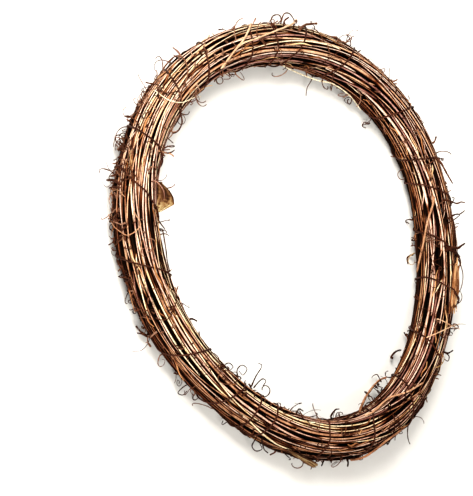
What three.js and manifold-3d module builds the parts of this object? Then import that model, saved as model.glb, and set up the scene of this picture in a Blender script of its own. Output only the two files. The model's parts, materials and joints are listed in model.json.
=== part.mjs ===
// A grapevine wreath lying flat: long vines laid round in a ring and bound by one wire wound round them.
// Millimetres, +Z up. The origin is the middle of the hole, on the surface that the wreath lies on.
// In the ring's own terms, u is the angle round the ring and phi the angle round the bundle's section:
// phi is 0 on the outer side, 90 degrees on top, 180 on the side of the hole and 270 underneath.

import * as THREE from "three";
import { mergeVertices } from "three/addons/utils/BufferGeometryUtils.js";
import Module from "manifold-3d";

// Driving dimensions. The ring's middle line and the bundle's section both depart a little from a circle:
// the waves are pairs of a cosine and a sine, from 2 waves round the ring and from 1 wave round it.
const RING_RADIUS = 136;
const RING_WAVES = [-0.3, 1.2, 3.2, 1.1, 0.6, 0.4];
const BUNDLE_RADIUS = 14.8;
const BUNDLE_WAVES = [0, 0.4, 0.1, 0, 0.3, 0.4, 0.7, -0.5];
const UNDERSIDE = 13.6; // from the bundle's middle down to its flattened underside
const AIR = 0.34; // between neighbouring pieces
const WIRE_RADIUS = 0.62;
const WIRE_OFF_SURFACE = 0.08;
const MIDDLE_HEIGHT = UNDERSIDE + AIR + 2 * WIRE_RADIUS + WIRE_OFF_SURFACE;

// The vines, in layers from the skin of the bundle inwards. Depth and dive are shares of the bundle's
// radius, sway is the swing round the section in radians, and drift the slow turn round it in one lap.
const LAYERS = [
  { name: "outer_vine", count: 26, radius: [1.45, 1.95], depth: 0.92, sides: 5, sway: 0.7, dive: 0.2 },
  { name: "middle_vine", count: 10, radius: [1.8, 2.2], depth: 0.56, sides: 4, sway: 0.7, dive: 0.25 },
  { name: "core_vine", count: 5, radius: [2.1, 2.45], depth: 0.22, sides: 4, sway: 0.8, dive: 0.2 },
];
const STATIONS = 36;
const SHORTEST = 28; // length of a vine, in stations
const LONGEST = 33;
const DRIFT = 1.1;
const THICK_END = 1.08; // of a vine's mean radius, at its root end
const THIN_END = 0.92;
const CUT_END = 0.55;
const PACKING_ROUNDS = 420;
const CALM_ROUNDS = 294; // after these only the pushes and a light smoothing are left
const HOME_PULL = 0.06;
const STIFFNESS = { start: 0.6, end: 0.1 };
const COARSE_SHARES = [0, 0.5]; // of the way to the next station, where vines are pushed apart
const FINE_SHARES = [0.25, 0.5, 0.75, 0];
const SEED = 1207;

// The binding wire: where each turn crosses the top, and how far it leans on its way over, in degrees of u
const WIRE_SAMPLES = 10; // corners in a turn
const WIRE_LEFT_OPEN = 3; // corners that the last turn lacks, so that the wire's two ends stay apart
const WIRE_TURNS = [
  [-158, 12], [-143, 13], [-125.5, 8], [-110.5, 16], [-91, 9], [-65, 9], [-47.5, 8], [-39.5, 2],
  [-33, 5], [-12.5, 6], [5, 10], [23, 10], [41.5, 9], [62, 7], [74.5, 14], [92, 11],
  [102.5, 6], [119, 7], [144.5, 9], [163, 12], [173, 2], [183, 8],
];

// Low bends on which the wreath rests, in degrees of u, and how deep each is cut flat
const REST_PLACES = [-142, -67, -14, 42, 121, 162];
const REST_CUT = 0.45;

// Bark and leaf scraps: where each lies, in degrees of u and phi, with its width and lift in millimetres.
// The flake's widest place and the length of its torn end are shares of its length.
const BARK_THICKNESS = 0.7;
const PEELED_BARK = { from: 54, to: 73.5, low: 44, high: 92 };
const CUPPED_FLAKE = { from: -116.3, to: -107.2, phi: 137, width: 10.2, cup: 20, widest: 0.68, torn: 0.22 };
const POINTED_SHEATH = { from: -24.5, to: -13.2, phi: 22, tip: 1, width: 7, lift: 3.8 };

// Curled tendrils and the stubs of cut side shoots, grown from the outer vines
const TENDRILS = {
  count: 32, radius: 0.58, tip: 0.32, sides: 3, steps: 7, length: [15, 27], curl: [190, 430],
};
const STUBS = {
  count: 28, radius: 0.95, tip: 0.6, sides: 3, steps: 2, length: [5, 9.5], curl: [0, 30],
};
const GOLDEN_ANGLE = 137.508; // from each shoot to the next round the section, which spreads them evenly
const TRIES = 30;
const CLEARANCE = 0.4;
const FURTHEST_REACH = 11.5; // of a tip, beyond the bundle
const HOLE_KEPT_CLEAR = 109;

// The middle of the finished wreath, measured from the middle of its ring
const MIDDLE = { x: 4.1, y: -1.9 };

// Colour and roughness of the dry stems, the wire and the scraps
const STEM_COLOURS = [0xa8743f, 0x8a5a30, 0xb98a52, 0x6f4628, 0x9c6a3a, 0x7d563c, 0xc19a66];
const STEM_ROUGHNESS = 0.85;
const WIRE_COLOUR = 0x3a1c14;
const WIRE_ROUGHNESS = 0.55;
const SCRAP_COLOUR = 0x8f7247;
const SCRAP_ROUGHNESS = 0.9;

const DEG = Math.PI / 180;
const wasm = await Module();
wasm.setup();

// A generator of numbers from 0 to 1 that gives the same row for the same seed.
function seeded(seed) {
  let state = seed >>> 0;
  return () => {
    state = (state + 0x6d2b79f5) >>> 0;
    let t = state;
    t = Math.imul(t ^ (t >>> 15), t | 1);
    t ^= t + Math.imul(t ^ (t >>> 7), t | 61);
    return ((t ^ (t >>> 14)) >>> 0) / 4294967296;
  };
}

const between = (random, low, high) => low + (high - low) * random();

// Sum of cosine and sine waves round the ring, the first pair with firstWave waves.
function waves(pairs, firstWave, u) {
  let sum = 0;
  for (let i = 0; i < pairs.length; i += 2) {
    const angle = (firstWave + i / 2) * u;
    sum += pairs[i] * Math.cos(angle) + pairs[i + 1] * Math.sin(angle);
  }
  return sum;
}

const ringRadius = (u) => RING_RADIUS + waves(RING_WAVES, 2, u);
const bundleRadius = (u) => BUNDLE_RADIUS + waves(BUNDLE_WAVES, 1, u);

// A point of the section at angle u, x outwards and z up from the bundle's middle.
function place(u, x, z) {
  const r = ringRadius(u) + x;
  return new THREE.Vector3(r * Math.cos(u) - MIDDLE.x, r * Math.sin(u) - MIDDLE.y, z + MIDDLE_HEIGHT);
}

// The same the other way: a point's angle u, and its place in the section there.
function sectionOf(point) {
  const [x, y] = [point.x + MIDDLE.x, point.y + MIDDLE.y];
  const u = Math.atan2(y, x);
  return { u, x: Math.hypot(x, y) - ringRadius(u), z: point.z - MIDDLE_HEIGHT };
}

const stationAngle = (station) => (station * 2 * Math.PI) / STATIONS;

// One vine: which stations it passes, how thick it is there, and where it would like to lie.
function planVine(layer, index, random) {
  const phase = () => between(random, 0, 2 * Math.PI);
  return {
    name: `${layer.name}_${String(index + 1).padStart(2, "0")}`,
    sides: layer.sides,
    radius: between(random, ...layer.radius),
    first: Math.floor(random() * STATIONS),
    steps: Math.round(between(random, SHORTEST, LONGEST)),
    phi: ((index + between(random, -0.3, 0.3)) * 2 * Math.PI) / layer.count,
    depth: layer.depth,
    drift: between(random, -DRIFT, DRIFT),
    sway: layer.sway * between(random, 0.3, 1),
    swayWaves: 1 + Math.floor(random() * 3),
    swayPhase: phase(),
    dive: layer.dive * between(random, 0.2, 1),
    diveWaves: 2 + Math.floor(random() * 3),
    divePhase: phase(),
    roll: phase(),
    path: [],
    rests: [],
    shoots: [],
  };
}

// Thickness falls from the root end to the tip, and both ends are cut slender.
function radiusAt(vine, step) {
  const along = step / vine.steps;
  const fromEnd = Math.min(step, vine.steps - step);
  const cut = Math.min(1, CUT_END + 0.3 * fromEnd);
  return vine.radius * (THICK_END + (THIN_END - THICK_END) * along) * cut;
}

// Where a vine would lie if no other were in its way.
function homeOf(vine, step) {
  const u = stationAngle(vine.first + step);
  const swing = vine.sway * Math.sin(vine.swayWaves * u + vine.swayPhase);
  const phi = vine.phi + swing + (vine.drift * step) / STATIONS;
  const dive = vine.dive * Math.sin(vine.diveWaves * u + vine.divePhase);
  const reach = (bundleRadius(u) - vine.radius) * (vine.depth + dive);
  return { x: reach * Math.cos(phi), z: reach * Math.sin(phi) };
}

// How many stations past its first end a vine is at a place given in stations round the ring.
const alongVine = (vine, stations) => (((stations - vine.first) % STATIONS) + STATIONS) % STATIONS;

// The step of a vine that lies at a station, or -1 where its two ends leave the ring open.
function stepAt(vine, station) {
  const step = alongVine(vine, station);
  return step <= vine.steps ? step : -1;
}

// Pushes two vines apart at a share t of the way from one station to the next.
function pushPair(a, b, stepA, stepB, t) {
  const nextA = Math.min(stepA + 1, a.steps);
  const nextB = Math.min(stepB + 1, b.steps);
  const [a0, a1, b0, b1] = [a.path[stepA], a.path[nextA], b.path[stepB], b.path[nextB]];
  const dx = (1 - t) * (b0.x - a0.x) + t * (b1.x - a1.x);
  const dz = (1 - t) * (b0.z - a0.z) + t * (b1.z - a1.z);
  const apart = Math.hypot(dx, dz) || 1e-6;
  const radii = (1 - t) * (a0.r + b0.r) + t * (a1.r + b1.r);
  const short = radii + AIR - apart;
  if (short <= 0) return;
  const push = (0.5 * short) / apart / ((1 - t) ** 2 + t ** 2);
  a0.x -= dx * push * (1 - t);
  a0.z -= dz * push * (1 - t);
  b0.x += dx * push * (1 - t);
  b0.z += dz * push * (1 - t);
  a1.x -= dx * push * t;
  a1.z -= dz * push * t;
  b1.x += dx * push * t;
  b1.z += dz * push * t;
}

// Pushes every two vines apart at each station and at the given shares of the way to the next.
function pushAllApart(vines, shares) {
  for (let station = 0; station < STATIONS; station++) {
    const here = vines.filter((vine) => stepAt(vine, station) >= 0);
    for (const t of shares) {
      const present = t ? here.filter((vine) => stepAt(vine, station) < vine.steps) : here;
      present.forEach((a, i) => {
        for (const b of present.slice(i + 1))
          pushPair(a, b, stepAt(a, station), stepAt(b, station), t);
      });
    }
  }
}

// Draws each vine towards its home and towards the line between its neighbours.
function settle(vine, pull, stiffness) {
  const old = vine.path.map((p) => ({ x: p.x, z: p.z }));
  vine.path.forEach((p, step) => {
    const home = homeOf(vine, step);
    const before = old[Math.max(step - 1, 0)];
    const after = old[Math.min(step + 1, vine.steps)];
    p.x += pull * (home.x - p.x) + stiffness * ((before.x + after.x) / 2 - p.x);
    p.z += pull * (home.z - p.z) + stiffness * ((before.z + after.z) / 2 - p.z);
  });
}

// Keeps a vine inside the round of the bundle and above its flattened underside.
function keepInBundle(vine) {
  vine.path.forEach((p, step) => {
    const limit = bundleRadius(stationAngle(vine.first + step)) - p.r;
    const far = Math.hypot(p.x, p.z);
    if (far > limit) {
      p.x *= limit / far;
      p.z *= limit / far;
    }
    p.z = Math.max(p.z, p.r - UNDERSIDE);
  });
}

// Lays all vines and shoves them past each other until none cuts another.
function layVines(random) {
  const vines = LAYERS.flatMap((layer) =>
    Array.from({ length: layer.count }, (_, index) => planVine(layer, index, random)),
  );
  for (const vine of vines) {
    for (let step = 0; step <= vine.steps; step++)
      vine.path.push({ ...homeOf(vine, step), r: radiusAt(vine, step) });
  }
  for (let round = 0; round < PACKING_ROUNDS; round++) {
    const stir = Math.max(0, 1 - round / CALM_ROUNDS);
    const stiffness = STIFFNESS.end + (STIFFNESS.start - STIFFNESS.end) * stir;
    for (const vine of vines) settle(vine, HOME_PULL * stir, stiffness);
    for (const vine of vines) keepInBundle(vine);
    pushAllApart(vines, stir ? COARSE_SHARES : FINE_SHARES);
  }
  for (let round = 0; round < PACKING_ROUNDS / 4; round++) pushAllApart(vines, FINE_SHARES);
  return vines;
}

// Centre and radius of a vine at any angle u, or null where it has ended.
function crossSection(vine, u) {
  const along = alongVine(vine, u / stationAngle(1));
  if (along > vine.steps) return null;
  const step = Math.min(Math.floor(along), vine.steps - 1);
  const t = along - step;
  const [p, q] = [vine.path[step], vine.path[step + 1]];
  return { x: p.x + t * (q.x - p.x), z: p.z + t * (q.z - p.z), r: p.r + t * (q.r - p.r) };
}

// How far the bundle reaches from its middle in the direction phi.
function reachOf(vines, u, phi) {
  const [cos, sin] = [Math.cos(phi), Math.sin(phi)];
  let reach = 0;
  for (const vine of vines) {
    const c = crossSection(vine, u);
    if (c) reach = Math.max(reach, c.x * cos + c.z * sin + c.r);
  }
  return reach;
}

// A closed body through rings of points, its two ends closed by a fan of triangles.
function loft(rings) {
  const sides = rings[0].length;
  const last = (rings.length - 1) * sides;
  const index = [];
  for (let ring = 0; ring < rings.length - 1; ring++) {
    for (let side = 0; side < sides; side++) {
      const a = ring * sides + side;
      const b = ring * sides + ((side + 1) % sides);
      index.push(a, b, b + sides, a, b + sides, a + sides);
    }
  }
  for (let side = 1; side < sides - 1; side++) {
    index.push(0, side + 1, side, last, last + side, last + side + 1);
  }
  const geometry = new THREE.BufferGeometry().setFromPoints(rings.flat());
  geometry.setIndex(index);
  return facingOut(geometry);
}

// Turns every triangle round if together they enclose a negative volume.
function facingOut(geometry) {
  const position = geometry.getAttribute("position");
  const index = Array.from(geometry.index.array);
  const corner = [new THREE.Vector3(), new THREE.Vector3(), new THREE.Vector3()];
  let volume = 0;
  for (let i = 0; i < index.length; i += 3) {
    corner.forEach((c, k) => c.fromBufferAttribute(position, index[i + k]));
    volume += corner[0].dot(corner[1].clone().cross(corner[2]));
  }
  if (volume < 0) {
    for (let i = 0; i < index.length; i += 3)
      [index[i + 1], index[i + 2]] = [index[i + 2], index[i + 1]];
    geometry.setIndex(index);
  }
  return geometry;
}

// A tube with few sides along points, whose sections turn as little as the path lets them.
function tube(points, radii, sides) {
  const heading = (i) =>
    points[Math.min(i + 1, points.length - 1)]
      .clone()
      .sub(points[Math.max(i - 1, 0)])
      .normalize();
  const across = new THREE.Vector3(0.31, 0.17, 0.93);
  const rings = points.map((point, i) => {
    const ahead = heading(i);
    across.addScaledVector(ahead, -across.dot(ahead)).normalize();
    const other = ahead.clone().cross(across);
    return Array.from({ length: sides }, (_, side) => {
      const angle = (side * 2 * Math.PI) / sides;
      return point
        .clone()
        .addScaledVector(across, radii[i] * Math.cos(angle))
        .addScaledVector(other, radii[i] * Math.sin(angle));
    });
  });
  return loft(rings);
}

// The section of a vine in the plane of its station, a polygon of a few sides.
function vineRing(vine, u, x, z, r) {
  return Array.from({ length: vine.sides }, (_, side) => {
    const angle = vine.roll + (side * 2 * Math.PI) / vine.sides;
    return place(u, x + r * Math.cos(angle), z + r * Math.sin(angle));
  });
}

// The vine whose back is lowest at angle u.
function lowestVine(vines, u) {
  let lowest = null;
  let depth = Infinity;
  for (const vine of vines) {
    const c = crossSection(vine, u);
    if (c && c.z - c.r < depth) {
      depth = c.z - c.r;
      lowest = vine;
    }
  }
  return lowest;
}

// Adds the low bends: the lowest vine at each resting place sags to the surface, one flat side down.
function addRests(vines) {
  for (const degrees of REST_PLACES) {
    const u = degrees * DEG;
    const vine = lowestVine(vines, u);
    const c = crossSection(vine, u);
    vine.roll = -Math.PI / 2 + Math.PI / vine.sides;
    const apothem = c.r * Math.cos(Math.PI / vine.sides);
    const along = alongVine(vine, u / stationAngle(1));
    vine.rests.push({ along, u, x: c.x, z: apothem - MIDDLE_HEIGHT - REST_CUT, r: c.r });
  }
}

// The plain vine, through its stations and its low bends.
function vineGeometry(vine) {
  const stations = vine.path.map((p, step) => {
    return { along: step, u: stationAngle(vine.first + step), ...p };
  });
  const all = stations.concat(vine.rests).sort((a, b) => a.along - b.along);
  return loft(all.map((s) => vineRing(vine, s.u, s.x, s.z, s.r)));
}

// The angle u of the wire where it has turned through phi, with one whole turn for each entry of the list.
function wireAngle(phi) {
  const half = phi / Math.PI;
  const knot = (k) => {
    const turn = Math.floor(k / 2);
    const lap = Math.floor(turn / WIRE_TURNS.length);
    const [top, lean] = WIRE_TURNS[turn - lap * WIRE_TURNS.length];
    return top + 360 * lap + (k % 2 ? lean / 2 : -lean / 2);
  };
  const k = Math.floor(half);
  return (knot(k) + (half - k) * (knot(k + 1) - knot(k))) * DEG;
}

// The wire's corners: each lies where two lines meet that touch the bundle, or the bark on it.
function wirePoints(vines) {
  const step = (2 * Math.PI) / WIRE_SAMPLES;
  const count = WIRE_SAMPLES * WIRE_TURNS.length - WIRE_LEFT_OPEN;
  const line = (i) => {
    const phi = 2 * Math.PI + (i - 1.5) * step;
    const u = wireAngle(phi);
    return { phi, out: reachOf(vines, u, phi) + AIR + WIRE_RADIUS + barkUnder(u, phi) };
  };
  return Array.from({ length: count }, (_, i) => {
    const [a, b] = [line(i), line(i + 1)];
    const u = wireAngle((a.phi + b.phi) / 2);
    const x = (a.out * Math.sin(b.phi) - b.out * Math.sin(a.phi)) / Math.sin(step);
    const z = (b.out * Math.cos(a.phi) - a.out * Math.cos(b.phi)) / Math.sin(step);
    return place(u, x, z);
  });
}

// A thin closed plate whose middle surface is a function of s and t, each from 0 to 1.
function plate(surface, rows, columns) {
  const [top, bottom] = [[], []];
  for (let row = 0; row <= rows; row++) {
    for (let column = 0; column <= columns; column++) {
      const [s, t] = [row / rows, column / columns];
      const along = surface(s + 0.01, t).sub(surface(s - 0.01, t));
      const across = surface(s, t + 0.01).sub(surface(s, t - 0.01));
      const normal = along.cross(across).normalize();
      top.push(surface(s, t).addScaledVector(normal, BARK_THICKNESS / 2));
      bottom.push(surface(s, t).addScaledVector(normal, -BARK_THICKNESS / 2));
    }
  }
  const under = top.length;
  const at = (row, column) => row * (columns + 1) + column;
  const index = [];
  for (let row = 0; row < rows; row++) {
    for (let column = 0; column < columns; column++) {
      const [a, b] = [at(row, column), at(row, column + 1)];
      const [c, d] = [at(row + 1, column + 1), at(row + 1, column)];
      index.push(a, b, c, a, c, d);
      index.push(under + a, under + c, under + b, under + a, under + d, under + c);
    }
  }
  const rim = [];
  for (let column = 0; column < columns; column++) rim.push(at(0, column));
  for (let row = 0; row < rows; row++) rim.push(at(row, columns));
  for (let column = columns; column > 0; column--) rim.push(at(rows, column));
  for (let row = rows; row > 0; row--) rim.push(at(row, 0));
  rim.forEach((a, i) => {
    const b = rim[(i + 1) % rim.length];
    index.push(a, under + a, b, b, under + a, under + b);
  });
  const geometry = new THREE.BufferGeometry().setFromPoints(top.concat(bottom));
  geometry.setIndex(index);
  return facingOut(geometry);
}

// A point outside the bundle at height h over its convex outline.
function overBundle(vines, u, phi, h) {
  const out = reachOf(vines, u, phi) + h;
  return place(u, out * Math.cos(phi), out * Math.sin(phi));
}

// Peeled bark that lies over the outer shoulder, held down by a turn of the wire.
function peeledBark(vines) {
  const { from, to, low, high } = PEELED_BARK;
  const surface = (s, t) => {
    const waist = 0.5 + 0.5 * Math.sin(Math.PI * Math.min(1, 0.25 + 0.75 * s));
    const phi = (low + high) / 2 + (t - 0.5) * (high - low) * waist;
    return overBundle(vines, (from + s * (to - from)) * DEG, phi * DEG, AIR + BARK_THICKNESS / 2);
  };
  return plate(surface, 7, 4);
}

// How much further out the wire runs where it crosses the peeled bark.
function barkUnder(u, phi) {
  const turn = 2 * Math.PI;
  const degrees = (((phi % turn) + turn) % turn) / DEG;
  const { from, to, low, high } = PEELED_BARK;
  const near = 360 / WIRE_SAMPLES;
  const along = u / DEG > from - 2 && u / DEG < to + 2;
  const across = degrees > low - near && degrees < high + near;
  return along && across ? BARK_THICKNESS + AIR : 0;
}

// A dry flake like a half cup, which stands out of the bundle into the hole: its outline swells from
// one end to its widest place and is torn off straight at the other.
function cuppedFlake(vines) {
  const { from, to, phi, width, cup, widest, torn } = CUPPED_FLAKE;
  const surface = (s, t) => {
    const u = (from + s * (to - from)) * DEG;
    const swell = Math.sin((Math.PI / 2) * Math.min(1, Math.max(0, s) / widest)) ** 0.9;
    const out = width * t * Math.max(0.2, Math.min(swell, (1 - s) / torn));
    const bend = (phi - cup * Math.sin((Math.PI / 2) * t) * Math.sin(Math.PI * s)) * DEG;
    const root = overBundle(vines, u, phi * DEG, AIR + BARK_THICKNESS);
    const outwards = place(u, 1, 0).sub(place(u, 0, 0));
    root.addScaledVector(outwards, out * Math.cos(bend));
    root.z += out * Math.sin(bend);
    return root;
  };
  return plate(surface, 9, 4);
}

// A leaf sheath on the outer side, with a pointed root, which widens and lifts off to its blunt end.
function pointedSheath(vines) {
  const { from, to, phi, tip, width, lift } = POINTED_SHEATH;
  const surface = (s, t) => {
    const along = Math.max(0, s);
    const half = (tip + (width - tip) * Math.min(1, along) ** 0.8) / 2;
    const angle = phi * (1 - s) + ((t - 0.5) * 2 * half) / BUNDLE_RADIUS / DEG;
    const hollow = 0.8 * along * (2 * t - 1) ** 2;
    const height = AIR + BARK_THICKNESS / 2 + lift * along ** 1.5 - hollow;
    return overBundle(vines, (from + s * (to - from)) * DEG, angle * DEG, height);
  };
  return plate(surface, 6, 3);
}

// Walks from a root in steps of equal length, turning about an axis more and more, and returns the path.
function shootPath(root, heading, axis, length, curl, steps) {
  const path = [root.clone()];
  const ahead = heading.clone();
  for (let i = 1; i <= steps; i++) {
    path.push(path.at(-1).clone().addScaledVector(ahead, length / steps));
    ahead.applyAxisAngle(axis, (2 * curl * DEG * i) / (steps * (steps + 1)));
  }
  return path;
}

// The vine that lies outermost in the direction phi.
function outermostVine(vines, u, phi) {
  const reach = (vine) => {
    const c = crossSection(vine, u);
    return c ? c.x * Math.cos(phi) + c.z * Math.sin(phi) + c.r : -Infinity;
  };
  return vines.reduce((best, vine) => (reach(vine) > reach(best) ? vine : best));
}

// A shoot tried at one place: from the heart of a vine outwards and along it, then curling.
function tryShoot(vine, u, kind, random) {
  const c = crossSection(vine, u);
  const root = place(u, c.x, c.z);
  const outward = place(u, c.x * 1.1, c.z * 1.1).sub(root).normalize();
  const along = place(u + 0.01, c.x, c.z).sub(root).normalize();
  const lean = between(random, 0.2, 1.1) * (random() < 0.5 ? -1 : 1);
  const heading = outward.clone().multiplyScalar(Math.cos(lean)).addScaledVector(along, Math.sin(lean));
  const side = outward.clone().cross(along).multiplyScalar(Math.sign(lean));
  const axis = side.applyAxisAngle(outward, between(random, -0.9, 0.9)).normalize();
  axis.addScaledVector(heading, -axis.dot(heading)).normalize();
  axis.addScaledVector(heading, between(random, -0.5, 0.5)).normalize();
  const size = between(random, ...kind.length);
  return shootPath(root, heading, axis, size, between(random, ...kind.curl), kind.steps);
}

// Distance of a point from the stretch between two others.
function distanceToStretch(point, a, b) {
  return new THREE.Line3(a, b).closestPointToPoint(point, true, new THREE.Vector3()).distanceTo(point);
}

// True if a point of a shoot keeps clear of the surface, the hole, other vines, the wire and other shoots.
function isClear(point, radius, ownVine, all) {
  const room = radius + CLEARANCE;
  const s = sectionOf(point);
  if (point.z < room || Math.hypot(point.x, point.y) < HOLE_KEPT_CLEAR + radius) return false;
  if (Math.hypot(s.x, s.z) > bundleRadius(s.u) + FURTHEST_REACH) return false;
  for (const vine of all.vines) {
    const c = vine === ownVine ? null : crossSection(vine, s.u);
    if (c && Math.hypot(s.x - c.x, s.z - c.z) < c.r + room) return false;
  }
  if (all.taken.some((other) => other.distanceTo(point) < 4 * room)) return false;
  const touchesWire = (corner, i) =>
    i > 0 && distanceToStretch(point, all.wire[i - 1], corner) < WIRE_RADIUS + room;
  return !all.wire.some(touchesWire);
}

// A path's own points and the middles between them, without its root and the point beside it.
function samplesOf(path) {
  return path.slice(1).flatMap((p, i) => [path[i].clone().lerp(p, 0.5), p]).slice(1);
}

// Spreads shoots of one kind round the ring and round the section, each where it meets nothing.
function growShoots(kind, all, random) {
  for (let i = 0; i < kind.count; i++) {
    for (let attempt = 0; attempt < TRIES; attempt++) {
      const u = ((i + between(random, -0.5, 0.5)) * 2 * Math.PI) / kind.count;
      const phi = (i * GOLDEN_ANGLE + between(random, -40, 40)) * DEG;
      const vine = outermostVine(all.vines, u, phi);
      const path = tryShoot(vine, u, kind, random);
      const samples = samplesOf(path);
      if (!samples.every((point) => isClear(point, kind.radius, vine, all))) continue;
      vine.shoots.push({ kind, path });
      all.taken.push(...samples);
      break;
    }
  }
}

// A closed mesh as a solid that can be joined and cut.
function toSolid(geometry) {
  const bare = new THREE.BufferGeometry().setAttribute("position", geometry.getAttribute("position"));
  bare.setIndex(geometry.index);
  const merged = mergeVertices(bare);
  const mesh = new wasm.Mesh({
    numProp: 3,
    vertProperties: new Float32Array(merged.getAttribute("position").array),
    triVerts: new Uint32Array(merged.index.array),
  });
  return new wasm.Manifold(mesh);
}

// A solid's surface as a geometry again.
function toGeometry(solid) {
  const mesh = solid.getMesh();
  const geometry = new THREE.BufferGeometry();
  geometry.setAttribute("position", new THREE.BufferAttribute(mesh.vertProperties, 3));
  geometry.setIndex(new THREE.BufferAttribute(mesh.triVerts, 1));
  return geometry;
}

// A vine with the shoots that grow from it, its low bends cut flat where they meet the surface.
function grownVine(vine) {
  let solid = toSolid(vineGeometry(vine));
  for (const { kind, path } of vine.shoots) {
    const radii = path.map((_, i) => kind.radius + (kind.tip - kind.radius) * (i / kind.steps));
    solid = solid.add(toSolid(tube(path, radii, kind.sides)));
  }
  if (vine.rests.length) {
    const surface = new THREE.BoxGeometry(3 * RING_RADIUS, 3 * RING_RADIUS, 10).translate(0, 0, -5);
    surface.deleteAttribute("normal");
    surface.deleteAttribute("uv");
    solid = solid.subtract(toSolid(surface));
  }
  return toGeometry(solid);
}

// A named mesh with a dry, matt finish of its own.
function piece(name, geometry, color, roughness) {
  const material = new THREE.MeshStandardMaterial({ color, roughness, metalness: 0, flatShading: true });
  const mesh = new THREE.Mesh(geometry, material);
  mesh.name = name;
  return mesh;
}

const random = seeded(SEED);
const vines = layVines(random);
addRests(vines);
const wire = wirePoints(vines);
const scraps = [
  ["peeled_bark", peeledBark(vines)],
  ["cupped_flake", cuppedFlake(vines)],
  ["pointed_sheath", pointedSheath(vines)],
];
const scrapPoints = scraps.flatMap(([, geometry]) => {
  const position = geometry.getAttribute("position");
  const point = (_, i) => new THREE.Vector3().fromBufferAttribute(position, i);
  return Array.from({ length: position.count }, point);
});
const all = { vines, wire, taken: scrapPoints };
growShoots(TENDRILS, all, random);
growShoots(STUBS, all, random);

const wreath = new THREE.Group();
vines.forEach((vine, i) => {
  const colour = STEM_COLOURS[i % STEM_COLOURS.length];
  wreath.add(piece(vine.name, grownVine(vine), colour, STEM_ROUGHNESS));
});
const wireTube = tube(wire, wire.map(() => WIRE_RADIUS), 4);
wreath.add(piece("binding_wire", wireTube, WIRE_COLOUR, WIRE_ROUGHNESS));
for (const [name, geometry] of scraps) wreath.add(piece(name, geometry, SCRAP_COLOUR, SCRAP_ROUGHNESS));

export default wreath;
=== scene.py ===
"""Looks of a dry grapevine wreath: stems, tendrils, bark scraps and binding wire on a pale floor."""

from __future__ import annotations

import json
import logging
import math
from dataclasses import dataclass, field, replace
from enum import Enum

import bpy
import numpy as np
from mathutils import Matrix, Vector

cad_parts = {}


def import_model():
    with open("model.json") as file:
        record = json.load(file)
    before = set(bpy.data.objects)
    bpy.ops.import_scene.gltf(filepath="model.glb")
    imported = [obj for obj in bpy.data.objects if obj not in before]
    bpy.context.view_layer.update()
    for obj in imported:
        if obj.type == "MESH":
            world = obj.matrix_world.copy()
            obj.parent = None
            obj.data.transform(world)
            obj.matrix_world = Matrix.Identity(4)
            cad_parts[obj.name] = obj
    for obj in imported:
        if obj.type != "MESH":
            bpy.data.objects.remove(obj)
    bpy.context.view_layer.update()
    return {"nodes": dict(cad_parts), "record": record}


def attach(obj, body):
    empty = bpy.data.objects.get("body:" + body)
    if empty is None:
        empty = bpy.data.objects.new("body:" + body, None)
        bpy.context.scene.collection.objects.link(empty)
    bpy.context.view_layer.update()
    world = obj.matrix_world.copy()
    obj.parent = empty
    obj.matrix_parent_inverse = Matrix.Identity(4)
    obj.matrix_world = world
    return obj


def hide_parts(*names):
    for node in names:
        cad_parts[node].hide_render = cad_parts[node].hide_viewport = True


LOG = logging.getLogger("wreath")
MM = 0.001
TURN = 2.0 * math.pi
BODY = "root"
PHOTO_WIDTH = 473
PHOTO_HEIGHT = 496

Array = np.ndarray
Pair = tuple[float, float]
Triple = tuple[float, float, float]
Draws = np.random.Generator
Socket = bpy.types.NodeSocket
Look = bpy.types.Material

# A stem's grain starts anywhere in this many millimetres, so that no two stems share it
GRAIN_STARTS = 4000


class Slot(Enum):
    """The record's material slots."""

    TAN = "vine_tan"
    BROWN = "vine_brown"
    STRAW = "vine_straw"
    UMBER = "vine_umber"
    BARK = "bark"
    WIRE = "wire"


class Lie(Enum):
    """Where a thin stem lies in the bundle."""

    SKIN = "skin"
    ACROSS = "across"
    UNDER = "under"


# Vectors and curves


def unit(vectors: Array) -> Array:
    """Divides each vector by its length."""
    length = np.linalg.norm(vectors, axis=-1, keepdims=True)
    return vectors / np.maximum(length, 1e-12)


def headings(path: Array) -> Array:
    """Gives the direction of a path at each of its points, from the point before to the one after."""
    padded = np.concatenate([path[:1], path, path[-1:]])
    return unit(padded[2:] - padded[:-2])


def lengths_along(path: Array) -> Array:
    """Gives the distance walked from a path's first point to each of its points."""
    steps = np.linalg.norm(np.diff(path, axis=0), axis=1)
    return np.concatenate([[0.0], np.cumsum(steps)])


def carried_across(path: Array, start: Array | None = None) -> Array:
    """Finds a direction across a path that turns as little as the path lets it.

    Each one is the one before it, less its part along the path's heading there.

    Args:
        path: The points of the path.
        start: A direction to start from, or None for any.

    Returns:
        One unit vector for each point.
    """
    heading = headings(path)
    last = np.array([0.31, 0.17, 0.93]) if start is None else np.asarray(start, float)
    across = np.empty_like(path)
    for row, ahead in enumerate(heading):
        last = last - np.dot(last, ahead) * ahead
        last = last / max(float(np.linalg.norm(last)), 1e-9)
        across[row] = last
    return across


def curve_through(points: Array, pieces: int) -> Array:
    """Draws a smooth curve through points.

    Between two points it is the cubic whose slope at each is half the way between its neighbours.

    Args:
        points: The points to pass.
        pieces: How many steps there are from one point to the next.

    Returns:
        The points of the curve, the given ones among them.
    """
    before = np.concatenate([[2 * points[0] - points[1]], points, [2 * points[-1] - points[-2]]])
    a, b, c, d = before[:-3, None], before[1:-2, None], before[2:-1, None], before[3:, None]
    t = (np.arange(pieces) / pieces)[None, :, None]
    bend = (2 * a - 5 * b + 4 * c - d) * t**2 + (3 * b - a - 3 * c + d) * t**3
    curve = b + 0.5 * ((c - a) * t + bend)
    return np.concatenate([curve.reshape(-1, points.shape[1]), points[-1:]])


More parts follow.
